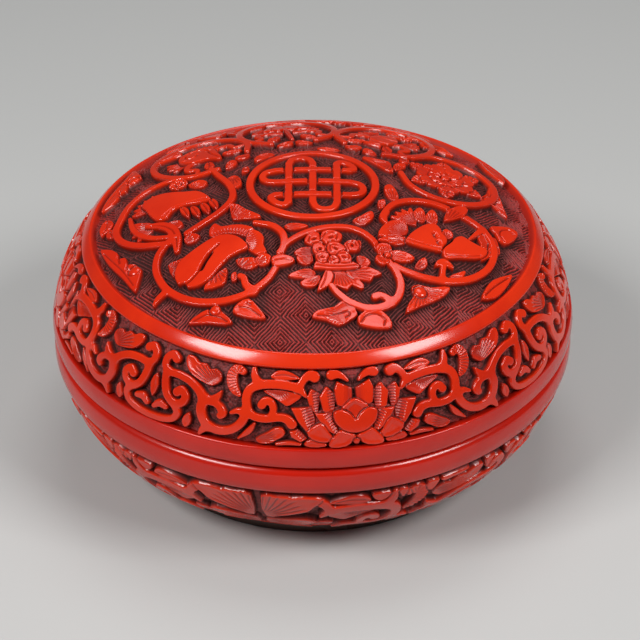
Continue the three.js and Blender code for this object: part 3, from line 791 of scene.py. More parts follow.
def carveScroll(relief):
    relief.plate([(11.8, 20.9), (13.2, 22), (15.2, 22.6), (17, 22.5), (18.4, 21.4), (18, 20.6), (15, 20.4)],
        0.82)
    relief.cut([(12.8, 21.2), (15.2, 21.6), (17.4, 21.3)], 0.35, 0.3)
    relief.petals(
        ([(11.2, 17.4), (12.8, 15.8), (14.4, 14.9), (15.6, 15.5), (17.5, 16.6), (20, 17.9), (17, 18.4),
          (14, 18.2)], 0.8, (17.4, 21), 24),
        ([(29.5, 18.4), (29.7, 20), (31.2, 20.9), (32.5, 20.5), (33.7, 21.5), (35.4, 21.3), (36.8, 22.2),
          (38.6, 22.2), (38.7, 20.6), (37.4, 18.8), (35.4, 17.8), (33.2, 17.2), (31.2, 17)], 0.9,
          (29.2, 16.4), 22),
        ([(14.6, 9.2), (15.2, 10.3), (16.8, 10.2), (18.6, 8.9), (20.9, 7.2), (19.8, 6.1), (17.6, 6.4),
          (16.2, 7.4), (15, 8.2)], 0.86, (21.4, 6), 24),
    )
    relief.stem([(11.6, 6.6), (13.8, 6.8), (16.4, 6.4)], (0.8, 1.1, 0.8), 0.78)
    relief.stem([(21.1, 10.6), (22.3, 8.7), (24.4, 6.7)], (0.7, 1.5, 0.6), 0.8)
    relief.petal([(35.6, 10.1), (36.8, 9), (37.1, 7.4), (36.2, 6.3), (35.1, 7.3), (34.9, 8.8)], 0.84,
        hollow=0.16)
    relief.petal([(45, 16.2), (46.2, 13.6), (45, 10.4), (43.8, 13.6)], 0.82, hollow=0.16)
    relief.stem([(24.8, 21.4), (26.2, 21.8), (27.1, 20.5), (26.9, 18.7), (26, 17.2), (24.9, 16.3)],
        (1.7, 2.1, 2.5, 2.5, 2, 1), 0.88, 0.62)
    relief.vine([
        ([(1.3, 20.4), (2.2, 21.2), (3.5, 21.8), (4.9, 21.7)], (0.8, 1.3, 1.8, 2.2)),
        ([(10.4, 17.2), (12, 18.8), (14.5, 19.4), (17.5, 19.5), (20.5, 19.1), (22.6, 18), (23.3, 16),
          (23, 13.6), (23.7, 10.8), (25.8, 8.6), (28.8, 7.8), (31.6, 8.8), (32.9, 11.4), (32.5, 13.9)],
          (0.8, 1.8, 2, 2, 2.1, 2.1, 2, 2, 2, 2, 2, 2.1, 2.3, 2.4)),
        ([(8.6, 21.4), (9.6, 21.7), (10.8, 21), (11.6, 19.8), (12.4, 18.9)], (2.5, 2.2, 1.8, 1.7, 1.7)),
        ([(21, 19.4), (22, 20.8), (22.3, 22.4)], (2, 1.7, 1.1)),
        ([(23, 13.4), (21.2, 12.2), (18.8, 12), (16, 12.5), (14.3, 12.2), (13.3, 11.2)],
          (2, 1.8, 1.8, 1.8, 2, 2.2)),
        ([(17.6, 12.6), (17.3, 14.3), (17.9, 15.6), (19.1, 15.8), (19.8, 14.9)], (1.5, 1.6, 1.7, 1.9, 2)),
        ([(31.9, 13.9), (30.2, 13.7), (28.8, 13), (28.1, 11.8), (28.5, 11.2)], (1.6, 1.6, 1.8, 2, 1.7)),
        ([(30.8, 14), (29.7, 15), (29, 16.3)], (2, 1.6, 0.6)),
        ([(30.8, 8.2), (32, 7.3), (32.7, 6.2)], (1.9, 1.7, 1)),
        ([(23.4, 12.8), (24.8, 12.9), (26.2, 12.3)], (1.5, 1.4, 0.9)),
        ([(39.4, 11), (38.3, 9.3), (39.2, 7.6), (41.8, 6.7), (45.5, 6.4)], (1.7, 1.8, 1.7, 1.7, 1.6)),
        ([(41.2, 9.6), (42.8, 9.9), (44, 8.9)], (1.4, 1.8, 1.3)),
        ([(32.6, 13.8), (34.2, 15.6), (36.6, 16.9), (39.4, 17.4), (41.8, 17.4), (43.3, 18.3), (43.4, 20),
          (42.2, 21.1), (41, 20.5)], (2.3, 2, 1.9, 1.8, 1.8, 1.8, 1.9, 2, 2.1)),
        ([(42.6, 17), (42.2, 14.5), (41.2, 12.3), (39.3, 11.1), (37.4, 11.8), (36.9, 13.4), (38, 14.4),
          (39, 13.7)], (1.9, 1.9, 1.9, 1.9, 1.9, 1.9, 2, 2.1)),
    ])


def carveBand(centrepiece, seed):
    left, right = scrollBand["past"]
    relief = Relief((-left, scrollBand["low"] - 1), (scrollBand["half"] + right, scrollBand["high"] + 1),
                    scrollBand["pitch"], scrollBand["stemWidth"])
    carveScroll(relief)
    centrepiece(relief)
    marks = toolMarks(relief.height.shape, seed)
    ground, stainAndShade = carve["roughness"] * (1 + marks), scrollBand["stainAndShade"] * (1 - marks)
    return relief, relief.finished(ground, stainAndShade, scrollBand["wells"])


# Meshes of the carved shells
def makeMesh(name, points, faces, maps=None, charts=None):
    mesh = bpy.data.meshes.new(name)
    corners = np.concatenate([f.ravel() for f in faces]).astype(np.int32)
    sizes = np.concatenate([np.full(len(f), f.shape[1], np.int32) for f in faces])
    mesh.vertices.add(len(points))
    mesh.vertices.foreach_set("co", (np.asarray(points) * mm).astype(np.float32).ravel())
    mesh.loops.add(len(corners))
    mesh.loops.foreach_set("vertex_index", corners)
    mesh.polygons.add(len(sizes))
    mesh.polygons.foreach_set("loop_start", (np.cumsum(sizes) - sizes).astype(np.int32))
    mesh.update(calc_edges=True)
    mesh.polygons.foreach_set("use_smooth", np.ones(len(sizes), bool))
    for label, values in (maps or {}).items():
        layer = mesh.attributes.new(label, "FLOAT", "POINT")
        layer.data.foreach_set("value", values.astype(np.float32))
    if charts is not None:
        layer = mesh.uv_layers.new(name="OFBake")
        layer.data.foreach_set("uv", charts.astype(np.float32).ravel())
    mesh.validate()
    return mesh


def addPiece(name, mesh, body, node, finish):
    piece = bpy.data.objects.new(name, mesh)
    scene.collection.objects.link(piece)
    mesh.materials.append(finish)
    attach(piece, body)
    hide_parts(node)
    return piece


def ringGrid(rows, columns):  # quads of a grid that closes on itself both ways
    row, column = np.meshgrid(np.arange(rows), np.arange(columns), indexing="ij")
    nextRow, nextColumn = (row + 1) % rows, (column + 1) % columns
    quads = [(row, column), (nextRow, column), (nextRow, nextColumn), (row, nextColumn)]
    quads = np.stack([r * columns + c for r, c in quads], -1)
    return quads.reshape(-1, 4), row.ravel(), column.ravel()


def ringCharts(row, column, outerRows, rows, columns, sectors=4):  # each sector lies in its own strip
    span = columns // sectors
    strip = 0.96 / sectors
    sector = column // span
    outer = row < outerRows - 1
    charts = np.zeros((len(row), 4, 2))
    for corner, (dr, dc) in enumerate(((0, 0), (1, 0), (1, 1), (0, 1))):
        across = (column - sector * span + dc) / span
        inward = (row - outerRows + 1 + dr) / (rows - outerRows + 1)
        down = np.where(outer, (row + dr) / (outerRows - 1), inward)
        charts[:, corner, 0] = np.where(outer, across, (sector + across) / sectors) * 0.99 + 0.005
        charts[:, corner, 1] = np.where(outer, 0.04 + (sector + 0.02 + 0.96 * down) * strip, 0.035 * down)
    return charts


def aroundAxis(radius, height, turn):  # points at heights above the mouth plane
    return np.stack([radius * np.cos(turn), radius * np.sin(turn), height + shape["mouthHeight"]], -1)


sides = {  # centre and radius of the section, and which way from the mouth it goes
    "lid": (lidSideCentre, shape["lidSideRadius"], 1),
    "base": (baseSideCentre, shape["baseSideRadius"], -1),
}


def sideShell(name, body, angle, inset, turn, maps, outerRows):
    centre, radius, way = sides[body]
    reach = radius - inset
    points = aroundAxis(centre + reach * np.cos(angle), way * reach * np.sin(angle), turn)
    quads, row, column = ringGrid(*angle.shape)
    charts = ringCharts(row, column, outerRows, *angle.shape)
    flat = {label: np.vstack(rows).ravel() for label, rows in maps.items()}
    return makeMesh(name, points.reshape(-1, 3), [quads], flat, charts)


def fromBlossom(turn, axis, repeats):  # place in the scroll band's map, for each angle round the box
    half = 180.0 / repeats
    away = np.abs((np.degrees(turn) + 90 - axis + half) % (2 * half) - half)
    return away * scrollBand["half"] / half


shellSteps = {  # round the box, down the carved field, across its plain edge
    "lid": (1120, 52, 24) if coarse else (2720, 134, 40),
    "base": (960, 70, 12) if coarse else (2280, 150, 12),
    "back": 8,
    "crisp": 0.002,  # share of the field in its last row, which keeps the edge sharp
}
bead = {  # the smooth ring round the top field
    "width": 3.25, "lip": 0.1, "under": 0.3,  # lip towards the field, under towards the scrolls
    "tuck": 0.5,  # its edges end that far below the ground
    "crown": 0.07, "edge": 14,  # swell of its middle, and how crisp its edges are
    "wobble": 0.10,
}


def makeLidSide(relief, maps):
    columns, fieldRows, beadRows = shellSteps["lid"]
    perAngle = shape["lidSideRadius"]
    depth, coat = shape["carvingDepth"], shape["coatThickness"]
    top = cornerAngle(0)
    low = math.asin((shape["lidRimHeight"] + shape["bondGap"]) / perAngle)
    beadTop = top + bead["lip"] / perAngle
    beadLow = top - (bead["width"] + bead["under"]) / perAngle
    turn = 2 * np.pi * np.arange(columns) / columns
    # the bead's lower edge was cut by hand and wanders a little
    wander = np.sin(3 * turn + 0.7) + 0.7 * np.sin(7 * turn + 2.1) + 0.5 * np.sin(12 * turn)
    t = 0.5 - 0.5 * np.cos(np.linspace(0, np.pi, beadRows))[:, None]  # rows close up at both edges
    swell = np.sqrt(np.clip(1 - (2 * t - 1) ** bead["edge"], 0, 1))
    beadAngle = beadTop + (beadLow - bead["wobble"] * wander / perAngle - beadTop) * t
    beadInset = coat * (1 - swell) - bead["crown"] * np.sin(np.pi * t) * swell
    beadInset = np.minimum(beadInset, depth + bead["tuck"]) + 0 * turn
    s = np.concatenate([np.linspace(0, 1, fieldRows)[1:-1], [1 - shellSteps["crisp"], 1]])[:, None]
    fieldAngle = beadAngle[-1:] + (low - beadAngle[-1:]) * s
    fromAxis = np.broadcast_to(fromBlossom(turn, **blossoms["lid"]), fieldAngle.shape)
    found = relief.sample(maps, fromAxis, fieldAngle * perAngle)
    back = np.linspace(low, top, shellSteps["back"])[:, None] + 0 * turn
    angle = np.vstack([beadAngle, fieldAngle, back])
    inset = np.vstack([beadInset, depth - found["height"], 0 * back + coat])
    # the bead's edges take a low level and so the darker wall colour: painted shade where they tuck under
    edge = ease(0.0, 0.1, t) * ease(1.0, 0.93, t) + 0 * turn
    shown = {"level": (0.45 + 0.55 * edge, found["level"], 0 * back),
             "groove": (0 * edge, found["groove"], 0 * back)}
    outerRows = len(beadAngle) + len(fieldAngle)
    return sideShell("lid_side_carving", "lid", angle, inset, turn, shown, outerRows)


# The top field, in mm right of the middle and away from the front
topField = {
    "radius": 49.8, "pitch": 0.08, "stemWidth": 0.88, "frameRadius": 14.1, "frameWidth": 1.9,
    "wells": 0.7,  # grime and painted shade on ground shut in
}
knot = {
    "span": 5.4, "width": 1.8, "edge": 8.4, "level": 0.97, "fillet": 0.2,
    "shoulder": 10.5, "bow": 11.3, "gap": 0.8,  # the loops that stand out of each side
    "corner": 8.3, "loose": 0.9, "tuck": 0.4,
}
diaper = {"across": 5.5, "away": 6.0, "from": (-7.0, -35.0), "ridges": 6, "rise": 0.5}


def diaperGround(x, y):  # nested lozenges, cut by hand and so a little uneven
    sway = 0.14 * np.sin(0.31 * y + 0.6 * np.sin(0.17 * x))
    sway += 0.05 * np.sin(1.3 * x + 0.9 * y) + 0.04 * np.sin(2.1 * y - 1.7 * x)
    p = (x + sway - diaper["from"][0]) / diaper["across"]
    q = (y - 0.7 * sway - diaper["from"][1]) / diaper["away"]
    s, t = (p + q + 1) % 2 - 1, (p - q + 1) % 2 - 1
    # no two lozenges are alike
    own = np.sin(12.9 * np.floor((p + q + 1) / 2) + 78.2 * np.floor((p - q + 1) / 2))
    ring = np.maximum(np.abs(s), np.abs(t)) * (diaper["ridges"] + 0.2 * own)
    outer = ease(0.4, 0.7, ring / diaper["ridges"])  # lines between the lozenges, cut lower
    ridge = ease(0.15, 0.75, 0.5 + 0.5 * np.cos(2 * np.pi * (ring - 0.5)))
    ridge = ridge * (1.1 - 0.35 * outer) * (1 + 0.5 * toolMarks(x.shape, 5))
    # darker in the valleys and on the lower lines between lozenges: painted shade
    return diaper["rise"] * ridge, np.clip(0.30 - 0.85 * ridge + 0.34 * outer, 0, 1)


def carveKnot(relief):  # one endless line, over and under itself
    a, width, edge = knot["span"], knot["width"], knot["edge"]
    gap, shoulder, loose, tuck = knot["gap"], knot["shoulder"], knot["loose"], edge - knot["tuck"]
    bow = [(a, edge), (a - gap, shoulder), (a / 2, knot["bow"]), (gap, shoulder), (0, edge)]
    corner = [(tuck, a), (edge + loose, a + loose), (knot["corner"], knot["corner"]),
              (a + loose, edge + loose), (a, tuck)]
    strokes = []
    for side in (-1, 1):
        strokes.append([(side * x, -side * y) for x, y in bow])
        strokes.append([(side * y, -side * x) for x, y in bow])
        strokes.append([(side * x, side * y) for x, y in corner])
    for i in (-a, 0, a):
        strokes += [[(i, -edge), (i, 0), (i, edge)], [(-edge, i), (0, i), (edge, i)]]
    relief.vine([(path, [width / relief.wider]) for path in strokes], knot["level"], knot["fillet"])
    reach, off = 0.5 * width, 0.5 * width + 0.15
    for i in (-1, 0, 1):
        for j in (-1, 0, 1):
            for side in (-off, off):
                line = [(side, -reach), (side, reach)]
                if (i + j) % 2:
                    line = [(y, x) for x, y in line]
                relief.cut([(i * a + x, j * a + y) for x, y in line], 0.5, 0.7)


def carveGourdLoop(relief):  # front left
    relief.petals(
        ([(-31.6, -23.4), (-29.2, -22.6), (-26.8, -22.2), (-28.6, -25.4), (-30.2, -27.4)], 0.82,
          (-31, -25.5), 9),
        ([(-18.6, -27.4), (-18.4, -30.2), (-19.2, -32.4), (-23.4, -32.8), (-22, -30)], 0.84, (-21, -27.4),
          9),
        ([(-22.8, -16.8), (-22.6, -14.6), (-21.4, -13.2), (-20, -14.6), (-17.6, -14.6), (-15.4, -15),
          (-13.2, -16.2), (-12.6, -17.8), (-14, -19.2), (-16.6, -17.8), (-19.6, -17.2), (-21.6, -18)], 0.86,
          (-18.6, -23), 26, 150, 0.6),
        ([(-13.8, -17.2), (-11.6, -18), (-10.5, -20), (-10.6, -22.2), (-9.8, -24.6), (-11.6, -25.4),
          (-13.4, -24), (-14.8, -21.6)], 0.9, (-18, -21.4), 24, 160, 0.5),
        ([(-16.8, -25.8), (-14.6, -25.4), (-12.2, -25.9), (-11.3, -27.5), (-13, -29), (-15.4, -28.2)], 0.84,
          (-16.4, -28.6), 8, 150, 0.5),
        ([(-12.4, -26), (-10.4, -24.9), (-8.8, -26), (-9.4, -28), (-11.4, -28.4)], 0.9, (-12.4, -27.4), 9),
    )
    relief.petal([(-16.4, -29), (-17.6, -29.6), (-17.4, -31.6), (-16.2, -31.4)], 0.72, hollow=0.16)
    relief.plate([(-28.6, -23.4), (-25.6, -20.8), (-22.4, -18.6), (-19.8, -17.8), (-17.2, -18.4),
        (-15, -20.4), (-14, -22.8), (-15.8, -23.9), (-18, -25.2), (-20, -27.6), (-22, -30.2),
        (-24.2, -31.6), (-26.6, -31.6), (-27.4, -30.2), (-28.9, -30), (-29.8, -27.6), (-29.5, -25.2)])
    relief.cuts(
        ([(-20.4, -20.8), (-22, -22.6), (-23.3, -25), (-24.3, -27.4), (-26, -29.6), (-27.2, -30.6)], 0.8,
          0.8),
        ([(-22, -23), (-23.2, -25.2), (-24, -27.2)], 1.5, 1.5),
        ([(-19.4, -28.2), (-17.6, -25.8), (-15.2, -24.2)], 0.5, 0.4),
    )
    relief.vine([
        ([(-7.6, -28.6), (-9.6, -32.2), (-13.6, -35.4), (-19.4, -36.6), (-25.6, -35.2), (-30.8, -31.2),
          (-33.7, -25.6), (-33.9, -20.8), (-32.4, -17.4), (-30.4, -15.2)], (1.7, 1.9, 2.1, 2, 1.9, 1.8)),
        ([(-12.6, -15), (-9, -16.4), (-6.6, -19.2), (-6.2, -22.6), (-7.2, -26)], (1.5, 1.9, 2, 2, 1.8)),
        ([(-12.6, -35.2), (-14.2, -33.2), (-14.7, -31.4), (-15.5, -30.7)], (2.4, 2, 1.8, 1.6)),
        ([(-31.4, -31.2), (-33, -32.4), (-33.9, -33.8)], (2, 1.7, 1)),
    ])
    relief.plate([(-8.8, -26.4), (-6.8, -25.7), (-4.6, -26.4), (-3.8, -27.7), (-5.6, -28.9), (-8.4, -28.8)],
        0.97)
    relief.cut([(-8.4, -27.4), (-6.4, -27.1), (-4.6, -27.6)], 0.45, 0.4)


def carveFlowerLoop(relief):  # front middle
    relief.petals(
        ([(-3.6, -26.4), (-2.2, -24.8), (-0.4, -25.2), (0.2, -27.4), (-1.4, -28.8), (-3, -28)], 0.84,
          (0.8, -27), 14),
        ([(9.4, -25.6), (11.2, -25.6), (12.6, -27.2), (11.6, -28.6), (9.8, -28)], 0.84, (8.2, -26.4), 14),
        ([(-4.2, -25), (-2.6, -23.4), (0, -23.2), (1.2, -24.4), (-0.6, -26), (-2.8, -26.2)], 0.72,
          (1.2, -25.2), 14),
    )
    relief.petal([(5.6, -22.8), (7.6, -22.4), (9.4, -21), (10.6, -21.6), (10.2, -24), (8.6, -24.8),
        (6.6, -24.2)], 0.92, hollow=0.16)
    for place, radius, turn, level in (
        ((8.5, -22.9), 1.9, 60, 0.96),
        ((0.3, -21.3), 2.3, 200, 0.92),
        ((1.6, -24.2), 2, 250, 0.88),
        ((4, -20.7), 2.6, 20, 0.98),
        ((4.9, -24), 2.2, 120, 0.93),
    ):
        relief.curl(place, radius, turn, level)
    relief.petals(
        ([(-5.4, -31.6), (-3.2, -30.2), (-0.6, -29.6), (0.8, -31), (-0.8, -32.4), (-3.4, -32.4)], 0.88,
          (1.8, -30.4), 18),
        ([(-2.8, -33.4), (-0.6, -32), (1.6, -31.4), (1.6, -33.4), (-0.2, -34.8), (-1.8, -34.6)], 0.86,
          (2.4, -31), 14),
        ([(3.2, -30.4), (6.2, -30.2), (8.6, -30.8), (11, -33.6), (10.4, -34.9), (8.4, -34), (7.4, -35.3),
          (5.4, -34.4), (3.6, -33.8)], 0.92, (5, -28.6), 20),
        ([(7, -30), (9.4, -28.4), (12.4, -28.7), (15, -30.2), (13.2, -31.1), (12.3, -32.6), (9.6, -32.2),
          (8, -31.6)], 0.92, (6.6, -30.6), 15),
    )
    relief.plate([(1, -35.8), (1.8, -32.6), (3, -30), (4.5, -31.4), (3.6, -34.2)], 0.95)
    relief.cut([(2.9, -30.8), (2.6, -33), (1.8, -35)], 0.35, 0.35)
    relief.plate([(0.1, -29.7), (1.4, -26.8), (4.6, -26), (7.8, -27.2), (10.1, -28.8), (8.2, -29.8),
        (4.6, -30.2), (1.8, -30.1)])
    relief.cut([(0.6, -29), (2.6, -29.3), (4.6, -29.4), (7, -29.2), (9.4, -28.7)], 0.45, 0.45)
    for place, radius, turn in (
        ((2.1, -26.8), 1.7, 160),
        ((6.7, -26.6), 1.9, 330),
        ((4.5, -27.4), 1.3, 90),
    ):
        relief.curl(place, radius, turn, 1)
    relief.vine([
        ([(-7.2, -25), (-5.4, -22.2), (-2.2, -19.6), (2, -17.8), (6.4, -17.2), (10, -18), (12.8, -20.4),
          (14.4, -23.4)], (1.6, 1.8, 1.9, 1.8)),
        ([(16.2, -26.4), (17.8, -28.8), (18.8, -32.2), (18, -35.9), (15.2, -38.5), (11.6, -39.4),
          (8, -38.3), (5.4, -36.2), (4, -34.4)], (1.8, 2, 2.1, 2.1, 2, 1.8, 1.6)),
        ([(16.8, -37.2), (15.4, -36.2), (14.2, -35.9), (13.2, -36.4)], (2.2, 1.9, 1.9, 2)),
    ])
    relief.petals(
        ([(13.8, -22.4), (15, -21.2), (16.8, -21.6), (17.2, -23.6), (15.8, -25), (14, -24.6)], 0.98,
          (16.4, -24.6), 12),
        ([(16.8, -23.2), (19.6, -22.8), (22.2, -24.4), (20.2, -26), (17.2, -25.8)], 0.98, (15.8, -24.6),
          11),
        ([(13.8, -25), (15.8, -25.2), (16.2, -27), (14.8, -27.8), (13.4, -26.6)], 0.98, (16.2, -24.6), 11),
    )
    relief.ball((16.2, -24.6), 0.8)


def carveTwinLoop(relief):  # front right
    relief.ruffle((23, -13.4), 6.2, 96, 172, 4, 0.84)
    relief.petals(
        ([(22.6, -11), (22.4, -8.4), (23.6, -6.8), (24.8, -7.6), (25.2, -10.2), (24.4, -12)], 0.88,
          (24.4, -12.6), 16),
        ([(25.2, -11.2), (25.2, -8.4), (26.6, -6.6), (27.8, -8.6), (27.4, -11.8)], 0.92, (26.6, -12.6),
          16),
        ([(14.2, -19), (15, -15.8), (17, -13.4), (19.6, -12.7), (21, -14.4), (20.6, -17), (17.6, -18.6)],
          0.88, (21.6, -17.6), 24),
        ([(13.8, -20.4), (16.6, -18.6), (20.4, -18), (20.6, -19.8), (18.2, -21.2), (16, -20.6)], 0.92,
          (21.8, -18.6), 16),
    )
    relief.plate([(20.2, -19.8), (20.9, -17.6), (22.4, -15.4), (24.4, -13.2), (26.2, -12.1), (27.6, -12.5),
        (28.8, -14.6), (29.5, -17), (28.6, -19), (28, -20.8), (25.4, -20.9), (22.4, -20.6)])
    relief.cuts(
        ([(20.6, -19), (23, -19.6), (25.6, -19.8), (28, -19.8)], 0.4, 0.35),
        ([(26.6, -15.6), (26.9, -16.6)], 1.5, 0.9),
        ([(27.3, -17.8), (27.5, -18.6)], 1.3, 0.8),
    )
    relief.plate([(30.3, -17), (31.2, -15.2), (32.8, -14.1), (34.8, -15), (36.6, -15.7), (38.2, -16),
        (38.2, -17.6), (36.8, -19.6), (34.6, -20.7), (31.6, -21.7), (29.2, -22.6), (28.2, -21.4),
        (28.6, -19.4)])
    relief.cut([(29, -21.6), (31.6, -20.9), (34.6, -19.9), (36.8, -18.8)], 0.4, 0.35)
    relief.petals(
        ([(28.4, -14.2), (29.2, -12.6), (30.8, -13.2), (31, -14.8), (29.6, -15.8)], 0.86, (29.2, -15.8),
          10),
        ([(22, -26.8), (22.8, -24.6), (24.4, -23.2), (25, -25.2), (23.8, -27)], 0.8, (22, -27.4), 10),
        ([(26.4, -25.6), (26.8, -23.8), (28.4, -22.7), (30, -23.6), (30.6, -25.2), (28.6, -24.9)], 0.97),
        ([(29.4, -27.4), (31.2, -25.8), (33.2, -24.6), (32.8, -26.4), (31, -27.8)], 0.92, (28.6, -28), 10),
    )
    relief.vine([
        ([(15.6, -13.4), (16.2, -10), (18.4, -6.8), (22, -4.7), (26, -4.1), (30, -4.9), (34.2, -6.8),
          (37.8, -9.4), (39.7, -13.2), (39.8, -17.6), (38, -22.4), (34.2, -26.6), (29.2, -29), (24, -29.4),
          (19.6, -28.4), (17.6, -27.4)], (1.6, 1.9, 2, 2, 1.9, 1.9, 2, 2, 1.8)),
        ([(37.8, -9.4), (36.4, -11.4), (34.4, -14.4)], (1.9, 1.6, 0.8)),
        ([(27.9, -29.2), (28, -27.2), (28.3, -25)], (2, 1.6, 1.6)),
        ([(16.2, -10.6), (15.4, -12.4), (15.9, -14.2)], (1.8, 1.9, 1.3)),
    ])
    relief.petal([(29.2, -9.8), (29.6, -6.6), (31.4, -3.8), (33.6, -2.2), (34.9, -3.4), (33.8, -6.2),
        (31.6, -8.4)], 0.99, (29.4, -10.2), 18)


def carveFanLoop(relief):  # left
    relief.ruffle((-35, -1.6), 6, 96, 196, 5, 0.82)
    relief.ruffle((-34.6, -8.4), 6.4, 150, 236, 4, 0.8)
    for tip in ((-27.6, -9.2), (-25.2, -9.9), (-23, -9.4), (-21.2, -8.2)):
        relief.leaf((tip[0] - 2, tip[1] + 5), tip, 2, 0.2, 0.88, 0)
    relief.plate([(-38.6, 0.4), (-37.2, 2.4), (-34.6, 3.2), (-31.6, 2.6), (-28.6, 1.4), (-26, 0.6),
        (-24, -1.4), (-22.8, -4), (-25.4, -4.6), (-28.6, -4.4), (-31, -5.2), (-32.4, -7.6), (-34.6, -7.7),
        (-36.4, -5), (-37.6, -2)])
    relief.cut([(-33.4, -6.8), (-31, -4.4), (-27.6, -3.6), (-23.6, -3.2)], 0.45, 0.4)
    relief.petals(
        ([(-28.4, 4.8), (-25.8, 6), (-23.8, 4.4), (-24.6, 2.4), (-27, 2.8)], 0.9, (-27.6, 2.4), 12),
        ([(-32, -8.8), (-29.4, -9.4), (-28.6, -11.6), (-30.4, -12.6), (-32.4, -11)], 0.84, (-32.8, -9.4),
          10),
        ([(-28.4, -16.2), (-26.6, -15), (-24.6, -16.4), (-25.6, -18.2), (-27.6, -18.2)], 0.84, (-29, -18),
          10),
    )
    relief.vine([
        ([(-23.2, 10.4), (-21.4, 6.2), (-19.2, 2), (-17.9, -2.2), (-18.2, -6), (-20.6, -9.6),
          (-24.2, -12.6), (-27.6, -15)], (1.6, 1.9, 2, 2, 1.8)),
        ([(-30.6, 8.6), (-34.4, 8.6), (-38.6, 6.4), (-41.8, 2), (-43.4, -3), (-44, -6.4), (-43.2, -9.8),
          (-41, -12.9), (-37.6, -15.2), (-34, -16.4), (-31.6, -16.9)], (1.4, 1.8, 2, 2, 2.1, 1.8)),
        ([(-36.8, -8.8), (-33.6, -10), (-31.2, -12.2), (-30, -15.6), (-29.6, -20)],
          (1.4, 2.6, 3, 2.8, 1.6)),
        ([(-41, -3.6), (-40.2, -7.6), (-38.4, -11), (-35.4, -13.6), (-32, -14.8)], (1.2, 1.7, 1.8, 1.5)),
    ])
    relief.cut([(-35.8, -9.2), (-33.2, -10.5), (-31, -12.8), (-29.9, -16), (-29.6, -19)], 0.5, 0.4)
    relief.rosette((-30.6, 6.1), 2.2)


def carveRing(relief):  # open ring with curled ends, its own centre at the origin
    reach = (10.6, 11.2, 11.4, 11.3, 11.3, 11.4, 11.4, 11.3, 11.2, 11.2, 10.6)
    ring = [polar(radius, 30 * i - 60) for i, radius in enumerate(reach)]
    relief.vine([(ring, (1.7, 2, 2, 2, 1.7))])
    for side in (-1, 1):
        tip = flipped(side, [(4.4, -10.6), (2, -9), (0.2, -9.6), (0.8, -11.4), (3, -11.8)])
        relief.petal(tip, 0.94, (side * 4.8, -10.2), 12)


def carveRibbons(relief):  # streamers either side of an emblem
    for side in (-1, 1):
        relief.ruffle((side * 3, 1.6), 5.4, 90 - side * 20, 90 - side * 96, 4, 0.8)
        relief.leaf((side * 2.4, -4), (side * 6, -7.4), 2.6)
        streamer = flipped(side, [(1.6, -1.4), (5, -0.4), (7.4, -1.8), (6.8, -4.2), (8.8, -5.6)])
        relief.vine([(streamer, (1.3, 1.8, 1.9, 1.6, 0.9))], 0.9)


def carvePeony(relief):  # right
    for i in range(6):
        relief.leaf(polar(4.5, 60 * i + 18), polar(9.4, 60 * i + 18), 3.8)
    relief.rosette((0, 0), 6.8, 7, 0.92)
    relief.rosette((0, 0), 4, 5, 0.98)
    relief.ball((0, 0), 1.1)


def carveVase(relief):  # back right
    carveRibbons(relief)
    relief.plate(mirrored([(1.6, 5.6), (1.1, 3.6), (2.9, 1.6), (3.1, -1.4), (1.7, -4.2), (2.3, -5.8)]))
    for height, half in ((3.8, 1.2), (1, 2.8), (-2.6, 2.4), (-4.6, 1.7)):
        relief.cut([(-half, height), (0, height - 0.4), (half, height)], 0.4, 0.35)
    relief.rosette((-1.7, 7.2), 1.8)
    relief.rosette((1.9, 7), 1.7)


def carveParasol(relief):  # back
    carveRibbons(relief)
    relief.vine([([(0, 2), (0, -3), (0, -7.4)], (1.3, 1.3, 1.2))])
    relief.plate(mirrored([(0, 6.8), (2, 5.8), (4.4, 3.8), (5.4, 1), (3.4, 1.7), (1.8, 0.8), (0, 1.6)]))
    for x in (-3.4, 0, 3.4):
        relief.cut([(0, 6), (x * 0.75, 4.2), (x, 2)], 0.4, 0.4)
    relief.ball((0, 7.6), 0.9)


def carveShell(relief):  # back left
    carveRibbons(relief)
    relief.plate([(-4.2, 3), (-2, 5.4), (1.4, 5.6), (4.2, 3.4), (4.6, 0.2), (2.6, -2.8), (0.6, -5.6),
        (-0.8, -5.6), (-1.4, -2.8), (-3.8, -0.4)])
    relief.cut([(0.2, -5), (1.4, -1.6), (3.2, 1.2), (2.4, 3.8), (-0.4, 4.4), (-2.2, 2.8), (-1, 1.2),
        (0.8, 1.8)], 0.55, 0.55)
    for far in ((4, 0.2), (3.8, 3), (1.4, 5.2), (-1.8, 5), (-3.8, 2.6)):
        relief.cut([(far[0] * 0.62, far[1] * 0.62 + 0.8), far], 0.35, 0.3)


def carveSmallLeaves(relief):  # sprays close round the medallion
    for outline, root in (
        ([(-18.4, -7.2), (-16.4, -7.6), (-14.8, -9.6), (-11.4, -12.6), (-12, -13.6), (-15.2, -13.2),
          (-17.6, -12.8), (-18.2, -10.2)], (-18.4, -12.6)),
        ([(-6.4, -16.8), (-5, -15.8), (-3, -16), (-0.8, -17), (-2.6, -18), (-5, -18)], (-7, -17.2)),
        ([(8.6, -14.6), (10.2, -13), (12.8, -10.8), (13.6, -12.4), (12.4, -14.8), (10.4, -16)],
          (8.4, -15.8)),
        ([(16, -0.2), (17.6, 0.8), (18.9, -1.6), (19.3, -4.6), (17.6, -5.6), (16.2, -3.4)], (18.4, -6)),
        ([(14.4, -6.6), (16.2, -6), (16, -8.6), (14.6, -9.2)], (15.2, -9.4)),
    ):
        relief.petal(outline, 0.92, root, 14)


